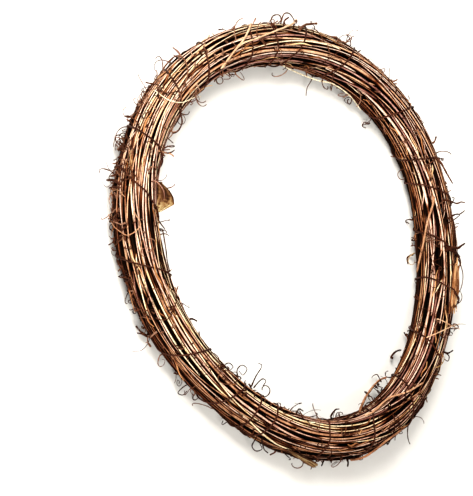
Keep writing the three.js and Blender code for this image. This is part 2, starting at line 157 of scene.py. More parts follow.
def smooth_between(where: Array, knots: Array, values: Array) -> Array:
    """Interpolates without overshoot.

    The slope at a knot is the harmonic mean of the slopes on its two sides, and 0 at a crest.

    Args:
        where: Where values are wanted.
        knots: Rising places of the known values.
        values: One row of known values for each knot.

    Returns:
        One row for each place.
    """
    gap = np.diff(knots)[:, None]
    slope = np.diff(values, axis=0) / gap
    product = slope[:-1] * slope[1:]
    total = slope[:-1] + slope[1:]
    inner = np.where(product > 0, 2 * product / np.where(total == 0, 1, total), 0.0)
    at_knot = np.concatenate([slope[:1], inner, slope[-1:]])
    i = np.clip(np.searchsorted(knots, where, side="right") - 1, 0, len(knots) - 2)
    h = gap[i]
    t = ((where - knots[i])[:, None] / h).clip(0.0, 1.0)
    start = (2 * t**3 - 3 * t**2 + 1) * values[i] + (t**3 - 2 * t**2 + t) * h * at_knot[i]
    end = (3 * t**2 - 2 * t**3) * values[i + 1] + (t**3 - t**2) * h * at_knot[i + 1]
    return start + end


def ease(value: Array, low: float, high: float) -> Array:
    """Rises smoothly from 0 at low to 1 at high."""
    t = np.clip((value - low) / (high - low), 0.0, 1.0)
    return t * t * (3 - 2 * t)


def between(ends: Pair, share: Array) -> Array:
    """Goes evenly from the first of two values to the second, as the share goes from 0 to 1."""
    return ends[0] + (ends[1] - ends[0]) * share


def round_angles(count: int) -> Array:
    """Gives evenly spaced angles of one turn, from 0."""
    return np.arange(count) * TURN / count


def turn_from_zero(angles: Array) -> Array:
    """Gives how far angles lie from 0, the short way round."""
    return np.abs((angles + math.pi) % TURN - math.pi)


def square(rows: int, columns: int) -> list[Array]:
    """Gives a grid of two parameters from 0 to 1: one grows down its rows, one along its columns."""
    return np.meshgrid(np.linspace(0, 1, rows), np.linspace(0, 1, columns), indexing="ij")


def shown(name: str, data: bpy.types.ID) -> bpy.types.Object:
    """Makes an object and puts it in the scene.

    Args:
        name: Its name.
        data: Its mesh, lamp or camera.

    Returns:
        The new object.
    """
    thing = bpy.data.objects.new(name, data)
    bpy.context.scene.collection.objects.link(thing)
    return thing


# The ring and what lies on it


@dataclass(frozen=True)
class Ring:
    """The ring that the stems follow, in millimetres.

    The angle u runs round the ring from +X towards +Y. In the section at u, x runs outwards from the
    bundle's middle, z runs up, and the angle phi turns from x towards z. The ring's middle is given
    in the part's frame.
    """

    middle: Triple = (-4.1, 1.9, 15.26)
    radius: float = 136.0
    radius_waves: tuple[float, ...] = (-0.3, 1.2, 3.2, 1.1, 0.6, 0.4)
    bundle: float = 14.8
    bundle_waves: tuple[float, ...] = (0.0, 0.4, 0.1, 0.0, 0.3, 0.4, 0.7, -0.5)

    @staticmethod
    def waves(pairs: tuple[float, ...], first: int, u: Array) -> Array:
        """Adds up cosine and sine pairs, the first of them with the given number of waves in a turn."""
        angle = np.asarray(u)[..., None] * (first + np.arange(len(pairs) // 2))
        return np.cos(angle) @ np.array(pairs[0::2]) + np.sin(angle) @ np.array(pairs[1::2])

    def radius_at(self, u: Array) -> Array:
        """Gives the radius of the bundle's middle line at angle u."""
        return self.radius + self.waves(self.radius_waves, 2, u)

    def bundle_at(self, u: Array) -> Array:
        """Gives the bundle's own radius at angle u."""
        return self.bundle + self.waves(self.bundle_waves, 1, u)

    def place(self, u: Array, x: Array, z: Array) -> Array:
        """Gives points in the part's frame from their angle and their place in the section."""
        reach = self.radius_at(u) + x
        return np.stack(np.broadcast_arrays(reach * np.cos(u), reach * np.sin(u), z), axis=-1) + self.middle

    def around(self, u: Array, phi: Array, reach: Array) -> Array:
        """Gives points in the part's frame from their angles and distance from the bundle's middle."""
        return self.place(u, reach * np.cos(phi), reach * np.sin(phi))

    def unroll(self, points: Array) -> tuple[Array, Array, Array]:
        """Gives the angle u and the place x, z in the section of points in the part's frame.

        Args:
            points: Points in the part's frame.

        Returns:
            Their angles u, and their places x and z.
        """
        dx, dy, z = np.moveaxis(points - np.array(self.middle), -1, 0)
        u = np.arctan2(dy, dx)
        return u, np.hypot(dx, dy) - self.radius_at(u), z

    def outwards(self, u: Array, phi: Array) -> Array:
        """Gives the unit vector that points away from the bundle's middle at u and phi."""
        u, phi = np.broadcast_arrays(u, phi)
        return np.stack([np.cos(phi) * np.cos(u), np.cos(phi) * np.sin(u), np.sin(phi)], axis=-1)

    @staticmethod
    def onwards(u: Array) -> Array:
        """Gives the unit vector along the ring at angle u."""
        u = np.asarray(u, float)
        return np.stack([-np.sin(u), np.cos(u), np.zeros_like(u)], axis=-1)


@dataclass
class Outline:
    """The convex outline of a bundle of stems, as a table over the angles u and phi."""

    reach: Array
    columns: int = 72

    @classmethod
    def round_stems(cls, x: Array, z: Array, r: Array) -> Outline:
        """Measures stems that are given by rows of places, one column for each angle u.

        The support in a direction is the furthest that any stem reaches that way. The outline's
        radius at phi is the least support divided by the cosine of the angle to its direction.

        Args:
            x: Outward place of each stem, NaN where it isn't there.
            z: Height of each stem.
            r: Radius of each stem.

        Returns:
            The outline.
        """
        phi = round_angles(cls.columns)
        far = x[..., None] * np.cos(phi) + z[..., None] * np.sin(phi) + r[..., None]
        support = np.nanmax(far, axis=0)
        apart = phi[:, None] - phi[None, :]
        lean = np.cos(apart)
        share = np.where(lean > 0.3, 1 / np.maximum(lean, 0.3), np.inf)
        return cls(np.min(support[:, None, :] * share[None], axis=2))

    def at(self, u: Array, phi: Array) -> Array:
        """Reads the table between its entries.

        Args:
            u: Angle round the ring.
            phi: Angle in the section.

        Returns:
            The outline's radius there.
        """
        rows, columns = self.reach.shape
        a, b = np.broadcast_arrays(np.asarray(u) / TURN * rows, np.asarray(phi) / TURN * columns)
        i, j = np.floor(a).astype(int), np.floor(b).astype(int)
        s, t = a - i, b - j
        i, j, k, l = i % rows, j % columns, (i + 1) % rows, (j + 1) % columns
        near = self.reach[i, j] * (1 - t) + self.reach[i, l] * t
        return near * (1 - s) + (self.reach[k, j] * (1 - t) + self.reach[k, l] * t) * s


@dataclass
class Stem:
    """A stem's middle line and radius in millimetres, by rising angles round the ring."""

    name: str
    u: Array
    x: Array
    z: Array
    r: Array
    tone: float = 0.5
    slimmer: float = 1.0
    shoots: list[Array] = field(default_factory=list)
    stubs: list[Array] = field(default_factory=list)

    def at(self, u: Array) -> tuple[Array, Array, Array]:
        """Gives x, z and the radius at angles that lie between the stem's ends."""
        rows = smooth_between(u, self.u, np.stack([self.x, self.z, self.r], axis=1))
        return rows[:, 0], rows[:, 1], rows[:, 2]

    def on_stations(self, angles: Array) -> tuple[Array, Array, Array]:
        """Gives x, z and r at angles of one turn, NaN where the stem leaves the ring open.

        Args:
            angles: The angles.

        Returns:
            The three values at each of them.
        """
        first = self.u[0]
        along = first + (angles - first) % TURN
        x, z, r = self.at(np.minimum(along, self.u[-1]))
        missing = along > self.u[-1]
        return tuple(np.where(missing, np.nan, v) for v in (x, z, r))


def tabled(stems: list[Stem], stations: int) -> Array:
    """Gives x, z and r of each stem at a number of stations, NaN where it isn't there."""
    return np.array([s.on_stations(round_angles(stations)) for s in stems])


# Meshes


@dataclass
class Shell:
    """Gathers closed surfaces and makes one mesh of them.

    Each point carries its grain coordinates in millimetres, which follow the stem that it is on, the
    stem's tone, made paler towards the -X side as painted light, its painted light and shade, and
    whether it is on a cut end. The painted shade darkens the bark deep in the bundle and on the stems'
    flanks and underside, and a painted highlight makes their backs paler.
    """

    ring: Ring
    skin: Outline | None = None
    # Painted shade: the depth at which it is darkest, and its shares on a stem's flanks and on the bundle's
    # underside
    shade_depth: Pair = (0.4, 2.3)
    flank: float = 0.05
    facing_out: Pair = (0.48, 1.0)
    below: float = 0.3
    facing_up: Pair = (-0.6, 0.45)
    outside: Pair = (-0.8, 0.2)
    # Painted light: how much paler the bark is at the -X side of the ring
    painted_side_light: float = 0.1
    points: list[Array] = field(default_factory=list)
    quads: list[Array] = field(default_factory=list)
    triangles: list[Array] = field(default_factory=list)
    grain: list[Array] = field(default_factory=list)
    facts: list[Array] = field(default_factory=list)
    count: int = 0

    def _keep(self, points: Array, grain: Array, facts: Array) -> int:
        """Adds points with what they carry.

        Args:
            points: The points.
            grain: Their grain coordinates.
            facts: Their tone, cleanness and cut.

        Returns:
            The number of the first.
        """
        first = self.count
        self.points.append(points)
        self.grain.append(grain)
        self.facts.append(facts)
        self.count += len(points)
        return first

    def painted_light(self, points: Array, normals: Array | None = None) -> Array:
        """Tells how much painted light the bark gets, from 0, painted shade deep in the bundle, to 1
        outside.

        It eases from 1 near the skin to 0 at the painted shade's depth, times a share that eases from the
        flank's, where a stem faces its neighbours, to 1 on its back, and times one that eases from
        the underside's to 1 on the bundle's top: painted shade on the flanks and underside, and a painted
        highlight on the back. Out of the bundle it is 1.

        Args:
            points: Points in the part's frame.
            normals: Which way the surface faces there, or None for outwards.

        Returns:
            One number for each point.
        """
        if self.skin is None:
            return np.ones(points.shape[:-1])
        u, x, z = self.ring.unroll(points)
        phi = np.arctan2(z, x)
        depth = self.skin.at(u, phi) - np.hypot(x, z)
        # Painted shade: darker the deeper the bark lies under the skin
        share = 1 - ease(depth, *self.shade_depth)
        if normals is not None:
            facing = (normals * self.ring.outwards(u, phi)).sum(axis=-1)
            # Painted shade on a stem's flanks, painted highlight on its back
            share = share * (self.flank + (1 - self.flank) * ease(facing, *self.facing_out))
            # Painted shade on the bundle's underside
            share = share * (self.below + (1 - self.below) * ease(np.sin(phi), *self.facing_up))
        return np.maximum(share, 1 - ease(depth, *self.outside))

    def side_light_tone(self, points: Array) -> Array:
        """Gives how much paler the bark is towards the -X side, painted light that brightens that side of
        the ring.
        """
        return -self.painted_side_light * points[..., 0] / self.ring.radius

    def tube(
        self,
        path: Array,
        radii: Array,
        across: Array,
        tone: Array | float,
        offset: float,
        tips: Pair,
        cut: float = 1.0,
    ) -> None:
        """Adds a closed tube.

        A point of a section is the path's point plus its radius times the cosine of its angle along
        the direction across, and its sine along the direction at right angles to that and the heading.

        Args:
            path: The middle line.
            radii: One row for each section, one column for each side.
            across: A unit vector across the path for each section.
            tone: The stem's tone, from dark to pale.
            offset: Where its grain starts, in millimetres.
            tips: How far each end's middle stands out, in shares of the radius there.
            cut: 1 where the ends are cut faces, 0 where they are grown tips.
        """
        rows, sides = radii.shape
        ahead = headings(path)
        other = np.cross(ahead, across)
        angle = round_angles(sides)
        ring = np.cos(angle)[:, None] * across[:, None] + np.sin(angle)[:, None] * other[:, None]
        body = path[:, None] + radii[..., None] * ring
        along = lengths_along(path) + offset
        far_along = np.repeat(along[:, None], sides, 1)
        grain = np.stack([radii * np.cos(angle), radii * np.sin(angle), far_along], -1)
        facts = np.zeros((rows, sides, 3))
        # Painted light: the tone is paler towards the -X side
        facts[..., 0] = np.broadcast_to(tone, rows)[:, None] + self.side_light_tone(body)
        # Painted light and shade of each point
        facts[..., 1] = self.painted_light(body, ring)
        first = self._keep(body.reshape(-1, 3), grain.reshape(-1, 3), facts.reshape(-1, 3))
        row = np.arange(rows - 1)[:, None] * sides
        side = np.arange(sides)[None]
        onward = (side + 1) % sides
        quad = np.stack([row + side, row + onward, row + onward + sides, row + side + sides], -1)
        self.quads.append(first + quad.reshape(-1, 4))
        reach = np.array([-tips[0] * radii[0].mean(), tips[1] * radii[-1].mean()])
        ends = path[[0, -1]] + ahead[[0, -1]] * reach[:, None]
        end_grain = np.array([[0.0, 0.0, along[0]], [0.0, 0.0, along[-1]]])
        end_facts = facts[[0, -1], 0].copy()
        end_facts[:, 2] = cut
        pole = self._keep(ends, end_grain, end_facts)
        side, onward = side[0], onward[0]
        last = (rows - 1) * sides
        start_cap = np.stack([np.full(sides, pole), first + onward, first + side], -1)
        end_cap = np.stack([np.full(sides, pole + 1), first + last + side, first + last + onward], -1)
        self.triangles += [start_cap, end_cap]

    def sprig(
        self,
        path: Array,
        taper: Array,
        sides: int,
        tone: Array | float,
        offset: float,
        tips: Pair,
        cut: float = 0.0,
    ) -> None:
        """Adds a tube whose sections are round, with the taper as the radius at each point."""
        radii = np.repeat(taper[:, None], sides, axis=1)
        self.tube(path, radii, carried_across(path), tone, offset, tips, cut)

    def plate(self, middle: Array, thickness: Array, tone: Array) -> None:
        """Adds a thin closed plate.

        Its two faces lie half its thickness to each side of a grid of points, along the cross
        product of the grid's two directions.

        Args:
            middle: The grid of points, rows by columns.
            thickness: Thickness at each point.
            tone: Tone at each point.
        """
        rows, columns = middle.shape[:2]
        along = np.gradient(middle, axis=0)
        across = np.gradient(middle, axis=1)
        normal = unit(np.cross(along, across))
        top = middle + normal * thickness[..., None] / 2
        bottom = middle - normal * thickness[..., None] / 2
        size = rows * columns
        step_along = np.linalg.norm(np.diff(middle, axis=0), axis=2).mean()
        step_across = np.linalg.norm(np.diff(middle, axis=1), axis=2).mean()
        i, j = np.meshgrid(np.arange(rows), np.arange(columns), indexing="ij")
        grain = np.stack([j * step_across, np.zeros_like(i), i * step_along], -1).astype(float)
        # Painted shade by the depth in the bundle
        facts = np.stack([tone, self.painted_light(middle), np.zeros_like(tone)], -1)
        points = np.concatenate([top.reshape(-1, 3), bottom.reshape(-1, 3)])
        first = self._keep(points, *(np.tile(v.reshape(-1, 3), (2, 1)) for v in (grain, facts)))
        at = first + np.arange(size).reshape(rows, columns)
        a, b, c, d = at[:-1, :-1], at[:-1, 1:], at[1:, 1:], at[1:, :-1]
        face = np.stack([a, d, c, b], -1).reshape(-1, 4)
        self.quads += [face, face[:, ::-1] + size]
        rim = np.concatenate([at[0, :-1], at[:-1, -1], at[-1, :0:-1], at[:0:-1, 0]])
        following = np.roll(rim, -1)
        self.quads.append(np.stack([rim, following, following + size, rim + size], -1))

    def faces(self) -> int:
        """Counts the triangles that the mesh will have."""
        return sum(2 * len(q) for q in self.quads) + sum(len(t) for t in self.triangles)

    def piece(self, name: str, finish: Finish, replaced: tuple[str, ...] = ()) -> bpy.types.Object:
        """Makes the mesh and the object, and dresses it.

        Args:
            name: Name of the piece.
            finish: The finish that it wears.
            replaced: Names of the CAD nodes that it stands for.

        Returns:
            The new object.
        """
        mesh = bpy.data.meshes.new(name)
        points = np.concatenate(self.points) * MM
        quads = np.concatenate(self.quads).reshape(-1, 4)
        triangles = np.concatenate(self.triangles) if self.triangles else np.empty((0, 3), int)
        corners = np.concatenate([quads.ravel(), triangles.ravel()])
        starts = np.concatenate([np.arange(len(quads)) * 4, quads.size + np.arange(len(triangles)) * 3])
        mesh.vertices.add(len(points))
        mesh.vertices.foreach_set("co", points.astype(np.float32).ravel())
        mesh.loops.add(len(corners))
        mesh.loops.foreach_set("vertex_index", corners.astype(np.int32))
        mesh.polygons.add(len(starts))
        mesh.polygons.foreach_set("loop_start", starts.astype(np.int32))
        mesh.polygons.foreach_set("use_smooth", np.ones(len(starts), bool))
        mesh.update(calc_edges=True)
        mesh.validate()
        grain = mesh.attributes.new("grain", "FLOAT_VECTOR", "POINT")
        grain.data.foreach_set("vector", np.concatenate(self.grain).astype(np.float32).ravel())
        facts = np.concatenate(self.facts).astype(np.float32)
        # The tone, the painted light and shade, and the cut end
        for column, fact in enumerate(("tone", "painted_light", "cut")):
            layer = mesh.attributes.new(fact, "FLOAT", "POINT")
            layer.data.foreach_set("value", np.ascontiguousarray(facts[:, column]))
        piece = shown(name, mesh)
        mesh.materials.append(finish.material())
        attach(piece, BODY)
        if replaced:
            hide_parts(*replaced)
        LOG.info("%s: %d triangles", name, self.faces())
        return piece


# Finishes


Stops = tuple[tuple[float, str], ...]

# The sockets of a Mix node that mixes colours
MIX_FACTOR, MIX_A, MIX_B, MIX_RESULT = 0, 6, 7, 2

WARM_SHEEN = (1.0, 0.58, 0.36, 1.0)
# Colours of the painted shade where little light reaches the bark, from darkest to none
PAINTED_SHADE = ((0.0, "080100"), (0.3, "301007"), (0.54, "a37151"), (0.8, "ffffff"))
CUT_FACE = ((0.3, "c9a878"), (0.7, "ead3a4"))
DARK_RUST = ((0.25, "120503"), (0.5, "2a0f09"), (0.75, "502417"))
PALE_FLECKS = ((0.3, "dbd9d6"), (0.7, "dfdedb"))
BARK_RELIEF = 0.0004


@dataclass
class Bench:
    """The node tree of one material, with short calls for the nodes that the finishes share."""

    name: str

    def __post_init__(self) -> None:
        """Makes the material with a bare shader."""
        self.made = bpy.data.materials.new(self.name)
        self.made.use_nodes = True
        self.tree = self.made.node_tree
        self.tree.nodes.clear()
        self.shader = self.node("BsdfPrincipled")
        self.tree.links.new(self.shader.outputs[0], self.node("OutputMaterial").inputs[0])

    def node(self, kind: str, **settings: object) -> bpy.types.Node:
        """Adds a node.

        Args:
            kind: Its kind, as Blender names it.
            settings: Its settings, by their names.

        Returns:
            The new node.
        """
        node = self.tree.nodes.new(f"ShaderNode{kind}")
        for name, value in settings.items():
            setattr(node, name, value)
        return node

    def feed(self, node: bpy.types.Node, inputs: dict[int | str, object]) -> Socket:
        """Links sockets to a node's inputs, or sets plain values there.

        Args:
            node: The node.
            inputs: What each input gets, by its name or number.

        Returns:
            The node's first output.
        """
        for key, value in inputs.items():
            if isinstance(value, Socket):
                self.tree.links.new(value, node.inputs[key])
            else:
                node.inputs[key].default_value = value
        return node.outputs[0]

    def attribute(self, name: str) -> Socket:
        """Reads a number that the mesh's points carry."""
        return self.node("Attribute", attribute_name=name).outputs["Fac"]

    def scaled(self, vector: Socket, scale: Triple) -> Socket:
        """Multiplies a vector's parts."""
        return self.feed(self.node("VectorMath", operation="MULTIPLY"), {0: vector, 1: scale})

    def grain(self, scale: Triple) -> Socket:
        """Reads the grain coordinates, each multiplied by its scale."""
        return self.scaled(self.node("Attribute", attribute_name="grain").outputs["Vector"], scale)

    def place(self, scale: float) -> Socket:
        """Reads the Object coordinates, multiplied by a scale."""
        return self.scaled(self.node("TexCoord").outputs["Object"], (scale, scale, scale))

    def noise(self, vector: Socket, detail: float, rough: float) -> Socket:
        """Adds noise with one lump to each unit of the vector, from 0 to 1 with a mean of a half."""
        inputs = {"Scale": 1.0, "Detail": detail, "Roughness": rough, "Vector": vector}
        return self.feed(self.node("TexNoise"), inputs)

    def sum(self, *terms: tuple[object, float]) -> Socket:
        """Adds up.

        Args:
            terms: Sockets or numbers, each with the number that it is multiplied by.

        Returns:
            The total.
        """
        total: object = 0.0
        for socket, weight in terms:
            total = self.feed(self.node("Math", operation="MULTIPLY_ADD"), {0: socket, 1: weight, 2: total})
        return total

    def band(self, value: object, low: float, high: float, start: float, end: float) -> Socket:
        """Maps a value from low to high onto start to end, and stops at both."""
        inputs = {"Value": value, "From Min": low, "From Max": high, "To Min": start, "To Max": end}
        return self.feed(self.node("MapRange"), inputs)

    def ramp(self, value: object, stops: Stops) -> Socket:
        """Turns a value into a colour between stops.

        Args:
            value: The value, from 0 to 1.
            stops: Rising places, each with its colour in six hexadecimal digits.

        Returns:
            The colour.
        """
        node = self.node("ValToRGB")
        elements = node.color_ramp.elements
        while len(elements) < len(stops):
            elements.new(0.5)
        for element, (position, colour) in zip(elements, stops):
            element.position = position
            element.color = paint(colour)
        return self.feed(node, {0: value})

    def mix(self, kind: str, factor: object, a: object, b: object) -> Socket:
        """Mixes two colours.

        Args:
            kind: The way, as Blender names it.
            factor: The share of the mix.
            a: The first colour.
            b: The second.

        Returns:
            The mixed colour.
        """
        node = self.node("Mix", data_type="RGBA", blend_type=kind)
        self.feed(node, {MIX_FACTOR: factor, MIX_A: a, MIX_B: b})
        return node.outputs[MIX_RESULT]

    def times(self, colour: Socket, factor: object) -> Socket:
        """Multiplies a colour by another, or by a number."""
        return self.mix("MULTIPLY", 1.0, colour, factor)

    def painted_shade(self) -> Socket:
        """Gives the painted shade deep in the bundle and on the stems' flanks and underside, white where the
        bark is fully lit.
        """
        return self.ramp(self.attribute("painted_light"), PAINTED_SHADE)

    def relief(self, height: object, strength: float, depth: float) -> None:
        """Gives the shader a bump of a depth in metres."""
        bump = self.feed(self.node("Bump"), {"Strength": strength, "Distance": depth, "Height": height})
        self.feed(self.shader, {"Normal": bump})

    def finish(self, colour: object, rough: object, specular: float) -> Look:
        """Plugs colour, roughness and gloss into the shader.

        Args:
            colour: Its colour.
            rough: Its roughness.
            specular: Its gloss.

        Returns:
            The material.
        """
        gloss = {"Specular IOR Level": specular, "Specular Tint": WARM_SHEEN}
        self.feed(self.shader, {"Base Color": colour, "Roughness": rough, **gloss})
        return self.made


def paint(code: str) -> tuple[float, float, float, float]:
    """Turns a colour written as six hexadecimal digits into linear numbers."""
    parts = [int(code[i : i + 2], 16) / 255 for i in (0, 2, 4)]
    return *(p / 12.92 if p <= 0.04045 else ((p + 0.055) / 1.055) ** 2.4 for p in parts), 1.0


@dataclass(frozen=True)
class Finish:
    """A named finish that belongs to a slot, and is made once."""

    name: str
    slot: Slot

    def material(self) -> Look:
        """Returns the material, which is made the first time."""
        known = bpy.data.materials.get(self.name)
        return known if known else self.make(Bench(self.name))

    def make(self, bench: Bench) -> Look:
        """Lays out the nodes."""
        raise NotImplementedError


@dataclass(frozen=True)
class StemBark(Finish):
    """Dry bark: fibres along the stem, paler where it has worn off, dark scabs, painted shade deep in the
    bundle and on the stems' flanks, and a painted highlight on their backs.
    """

    stops: Stops
    gloss: float = 0.18

    def make(self, bench: Bench) -> Look:
        """Lays out the nodes.

        Args:
            bench: Where they go.

        Returns:
            The material.
        """
        fibre = bench.noise(bench.grain((1.9, 1.9, 0.1)), 4.0, 0.65)
        thread = bench.noise(bench.grain((5.5, 5.5, 0.16)), 3.0, 0.7)
        worn = bench.noise(bench.grain((0.25, 0.25, 0.075)), 3.0, 0.65)
        mottle = bench.noise(bench.place(150.0), 3.0, 0.6)
        scab = bench.noise(bench.grain((1.3, 1.3, 0.7)), 2.0, 0.6)
        tone = bench.sum(
            (bench.attribute("tone"), 1.0),
            (fibre, 0.34),
            (worn, 0.6),
            (mottle, 0.34),
            # Painted highlight: paler where the painted light is full
            (bench.attribute("painted_light"), 0.2),
            (1.0, -0.64),
        )
        colour = bench.ramp(tone, self.stops)
        colour = bench.times(colour, bench.band(thread, 0.36, 0.52, 0.42, 1.0))
        colour = bench.times(colour, bench.band(scab, 0.36, 0.46, 0.5, 1.0))
        end = bench.band(bench.attribute("cut"), 0.35, 0.55, 0.0, 0.9)
        colour = bench.mix("MIX", end, colour, bench.ramp(thread, CUT_FACE))
        # Painted shade deep in the bundle, on the flanks and underside
        colour = bench.times(colour, bench.painted_shade())
        rough = bench.band(fibre, 0.3, 0.7, 0.6, 0.88)
        bench.relief(bench.sum((fibre, 0.7), (thread, 0.5), (scab, 0.6)), 0.8, BARK_RELIEF)
        return bench.finish(colour, rough, self.gloss)


@dataclass(frozen=True)
class ShreddedBark(Finish):
    """Papery bark that has come off in sheets, with long fibres and a pale torn edge."""

    stops: Stops

    def make(self, bench: Bench) -> Look:
        """Lays out the nodes.

        Args:
            bench: Where they go.

        Returns:
            The material.
        """
        fibre = bench.noise(bench.grain((2.6, 2.6, 0.22)), 4.0, 0.7)
        blotch = bench.noise(bench.place(240.0), 3.0, 0.6)
        tone = bench.sum((bench.attribute("tone"), 1.0), (fibre, 0.5), (blotch, 0.34), (1.0, -0.42))
        # Painted shade where the strips lie deep in the bundle
        colour = bench.times(bench.ramp(tone, self.stops), bench.painted_shade())
        bench.relief(bench.sum((fibre, 0.9), (blotch, 0.4)), 0.8, BARK_RELIEF)
        return bench.finish(colour, bench.band(fibre, 0.3, 0.7, 0.6, 0.9), 0.25)


@dataclass(frozen=True)
class RustedWire(Finish):
    """Soft wire with a dark red-brown skin, a little worn."""

    def make(self, bench: Bench) -> Look:
        """Lays out the nodes.

        Args:
            bench: Where they go.

        Returns:
            The material.
        """
        speck = bench.noise(bench.place(900.0), 3.0, 0.6)
        drift = bench.noise(bench.grain((0.3, 0.3, 0.06)), 2.0, 0.5)
        tone = bench.sum((speck, 0.6), (drift, 0.5), (1.0, -0.05))
        colour = bench.ramp(tone, DARK_RUST)
        bench.relief(speck, 0.4, 0.00008)
        return bench.finish(colour, bench.band(speck, 0.3, 0.7, 0.45, 0.65), 0.3)


@dataclass(frozen=True)
class PaleFloor(Finish):
    """Smooth pale paper."""

    def make(self, bench: Bench) -> Look:
        """Lays out the nodes."""
        colour = bench.ramp(bench.noise(bench.place(40.0), 4.0, 0.6), PALE_FLECKS)
        return bench.finish(colour, 0.9, 0.1)


PINKISH = ("2a1009", "5b3325", "926756", "bd927e", "ddbba5", "f3dfcd")
ORANGE = ("260d05", "583120", "916448", "bc8e6d", "dbb492", "f1d8b8")
CREAM = ("2d1707", "68492a", "a48457", "cbad7e", "e6cea2", "f7e8c8")
RUSSET = ("220a06", "4a271e", "80564b", "ab8074", "cea99b", "ebd2c6")
NEARLY_BLACK = ("120503", "2a120b", "4a2a1d", "714b38", "977460", "b99a86")


def stops_of(colours: tuple[str, ...]) -> Stops:
    """Spreads six colours over the tones, close together where most bark lies."""
    return tuple(zip((0.0, 0.2, 0.4, 0.58, 0.76, 1.0), colours))


TAN_BARK = StemBark("tan_bark", Slot.TAN, stops_of(PINKISH))
BROWN_BARK = StemBark("brown_bark", Slot.BROWN, stops_of(ORANGE), gloss=0.14)
STRAW_BARK = StemBark("straw_bark", Slot.STRAW, stops_of(CREAM), gloss=0.2)
UMBER_BARK = StemBark("umber_bark", Slot.UMBER, stops_of(RUSSET), gloss=0.12)
BARK_OF_SLOT = {f.slot.value: f for f in (TAN_BARK, BROWN_BARK, STRAW_BARK, UMBER_BARK)}
TONE_OF_SLOT = {
    Slot.TAN.value: (0.6, 0.74),
    Slot.BROWN.value: (0.4, 0.54),
    Slot.STRAW.value: (0.74, 0.9),
    Slot.UMBER.value: (0.2, 0.36),
}
TENDRIL_BARK = StemBark("tendril_bark", Slot.UMBER, stops_of(NEARLY_BLACK), gloss=0.12)
PAPER = ((0.0, "28120a"), (0.35, "693d23"), (0.6, "ad784e"), (0.8, "d0a272"), (1.0, "edcda2"))
PAPER_BARK = ShreddedBark("paper_bark", Slot.BARK, PAPER)
KHAKI = (
    (0.0, "1e0f07"), (0.3, "472b19"), (0.5, "775939"),
    (0.7, "978660"), (0.85, "c4b792"), (1.0, "ece3c8"),
)
FLAKE_SKIN = ShreddedBark("flake_skin", Slot.BARK, KHAKI)
WIRE_SKIN = RustedWire("wire_skin", Slot.WIRE)
FLOOR_PAPER = PaleFloor("floor_paper", Slot.BARK)


# Reading the CAD nodes


@dataclass
class CadNode:
    """A CAD node's mesh with its loose triangles joined, in millimetres.

    The sections of a vine lie in radial planes, with an angle of a station between them. All angles
    are in degrees.
    """

    ring: Ring
    name: str
    corners: Array
    faces: Array
    station: float = 10.0
    near: float = 0.002
    widest: float = 3.4
    fewest: int = 4

    @classmethod
    def read(cls, ring: Ring, name: str, node: bpy.types.Object) -> CadNode:
        """Copies a node's points and triangles.

        Args:
            ring: The ring.
            name: The node's name.
            node: The node.

        Returns:
            The copy.
        """
        mesh = node.data
        co = np.empty(len(mesh.vertices) * 3, np.float32)
        mesh.vertices.foreach_get("co", co)
        index = np.empty(len(mesh.loops), np.int32)
        mesh.loops.foreach_get("vertex_index", index)
        rounded = np.round(co.reshape(-1, 3).astype(float) / MM, 4)
        corners, which = np.unique(rounded, axis=0, return_inverse=True)
        return cls(ring, name, corners, which.ravel()[index].reshape(-1, 3))

    def stem(self, rests: tuple[float, ...]) -> Stem:
        """Finds the vine's middle line from the rings of corners that lie in radial planes.

        Args:
            rests: Angles in degrees at which a vine may have a low bend.

        Returns:
            The vine, with the mean of each ring as its middle and the furthest corner as its radius.
        """
        u, x, z = self.ring.unroll(self.corners)
        turn = np.degrees(u) % 360
        rows = []
        for angle in [*np.arange(0.0, 360.0, self.station), *(a % 360 for a in rests)]:
            there = np.abs((turn - angle + 180) % 360 - 180) < self.near
            if np.count_nonzero(there) < self.fewest:
                continue
            spot = np.stack([x[there], z[there]], axis=1)
            middle = np.median(spot, axis=0)
            spot = spot[np.linalg.norm(spot - middle, axis=1) < self.widest]
            if len(spot) < self.fewest:
                continue
            middle = (spot.min(axis=0) + spot.max(axis=0)) / 2 if len(spot) > 5 else spot.mean(axis=0)
            radius = np.linalg.norm(spot - middle, axis=1).max()
            rows.append((angle, *middle, radius))
        table = np.array(sorted(rows))
        gap = np.diff(np.append(table[:, 0], table[0, 0] + 360))
        start = (int(np.argmax(gap)) + 1) % len(table)
        table = np.roll(table, -start, axis=0)
        angle = np.radians(table[:, 0])
        angle = angle[0] + (angle - angle[0]) % TURN
        return Stem(self.name, angle, table[:, 1], table[:, 2], table[:, 3])

    def shoots(self, tip_radius: float) -> list[Array]:
        """Follows each side shoot from its three-cornered tip down to where it enters the vine.

        Args:
            tip_radius: Radius of the tips of the shoots that are wanted.

        Returns:
            The middle line of each shoot, from its root to its tip.
        """
        edge = np.linalg.norm(self.corners[self.faces] - self.corners[np.roll(self.faces, 1, 1)], axis=2)
        tips = self.faces[np.all(np.abs(edge - tip_radius * math.sqrt(3)) < 0.003, axis=1)]
        neighbours: dict[int, set[int]] = {}
        for face in self.faces.tolist():
            for corner in face:
                neighbours.setdefault(corner, set()).update(set(face) - {corner})
        paths = []
        for tip in tips.tolist():
            rings = [set(tip)]
            seen = set(tip)
            while len(onward := set().union(*(neighbours[v] for v in rings[-1])) - seen) == 3:
                rings.append(onward)
                seen |= onward
            line = np.array([self.corners[sorted(r)].mean(axis=0) for r in rings[::-1]])
            if len(line) > 1:
                paths.append(line)
        return paths


# Stems


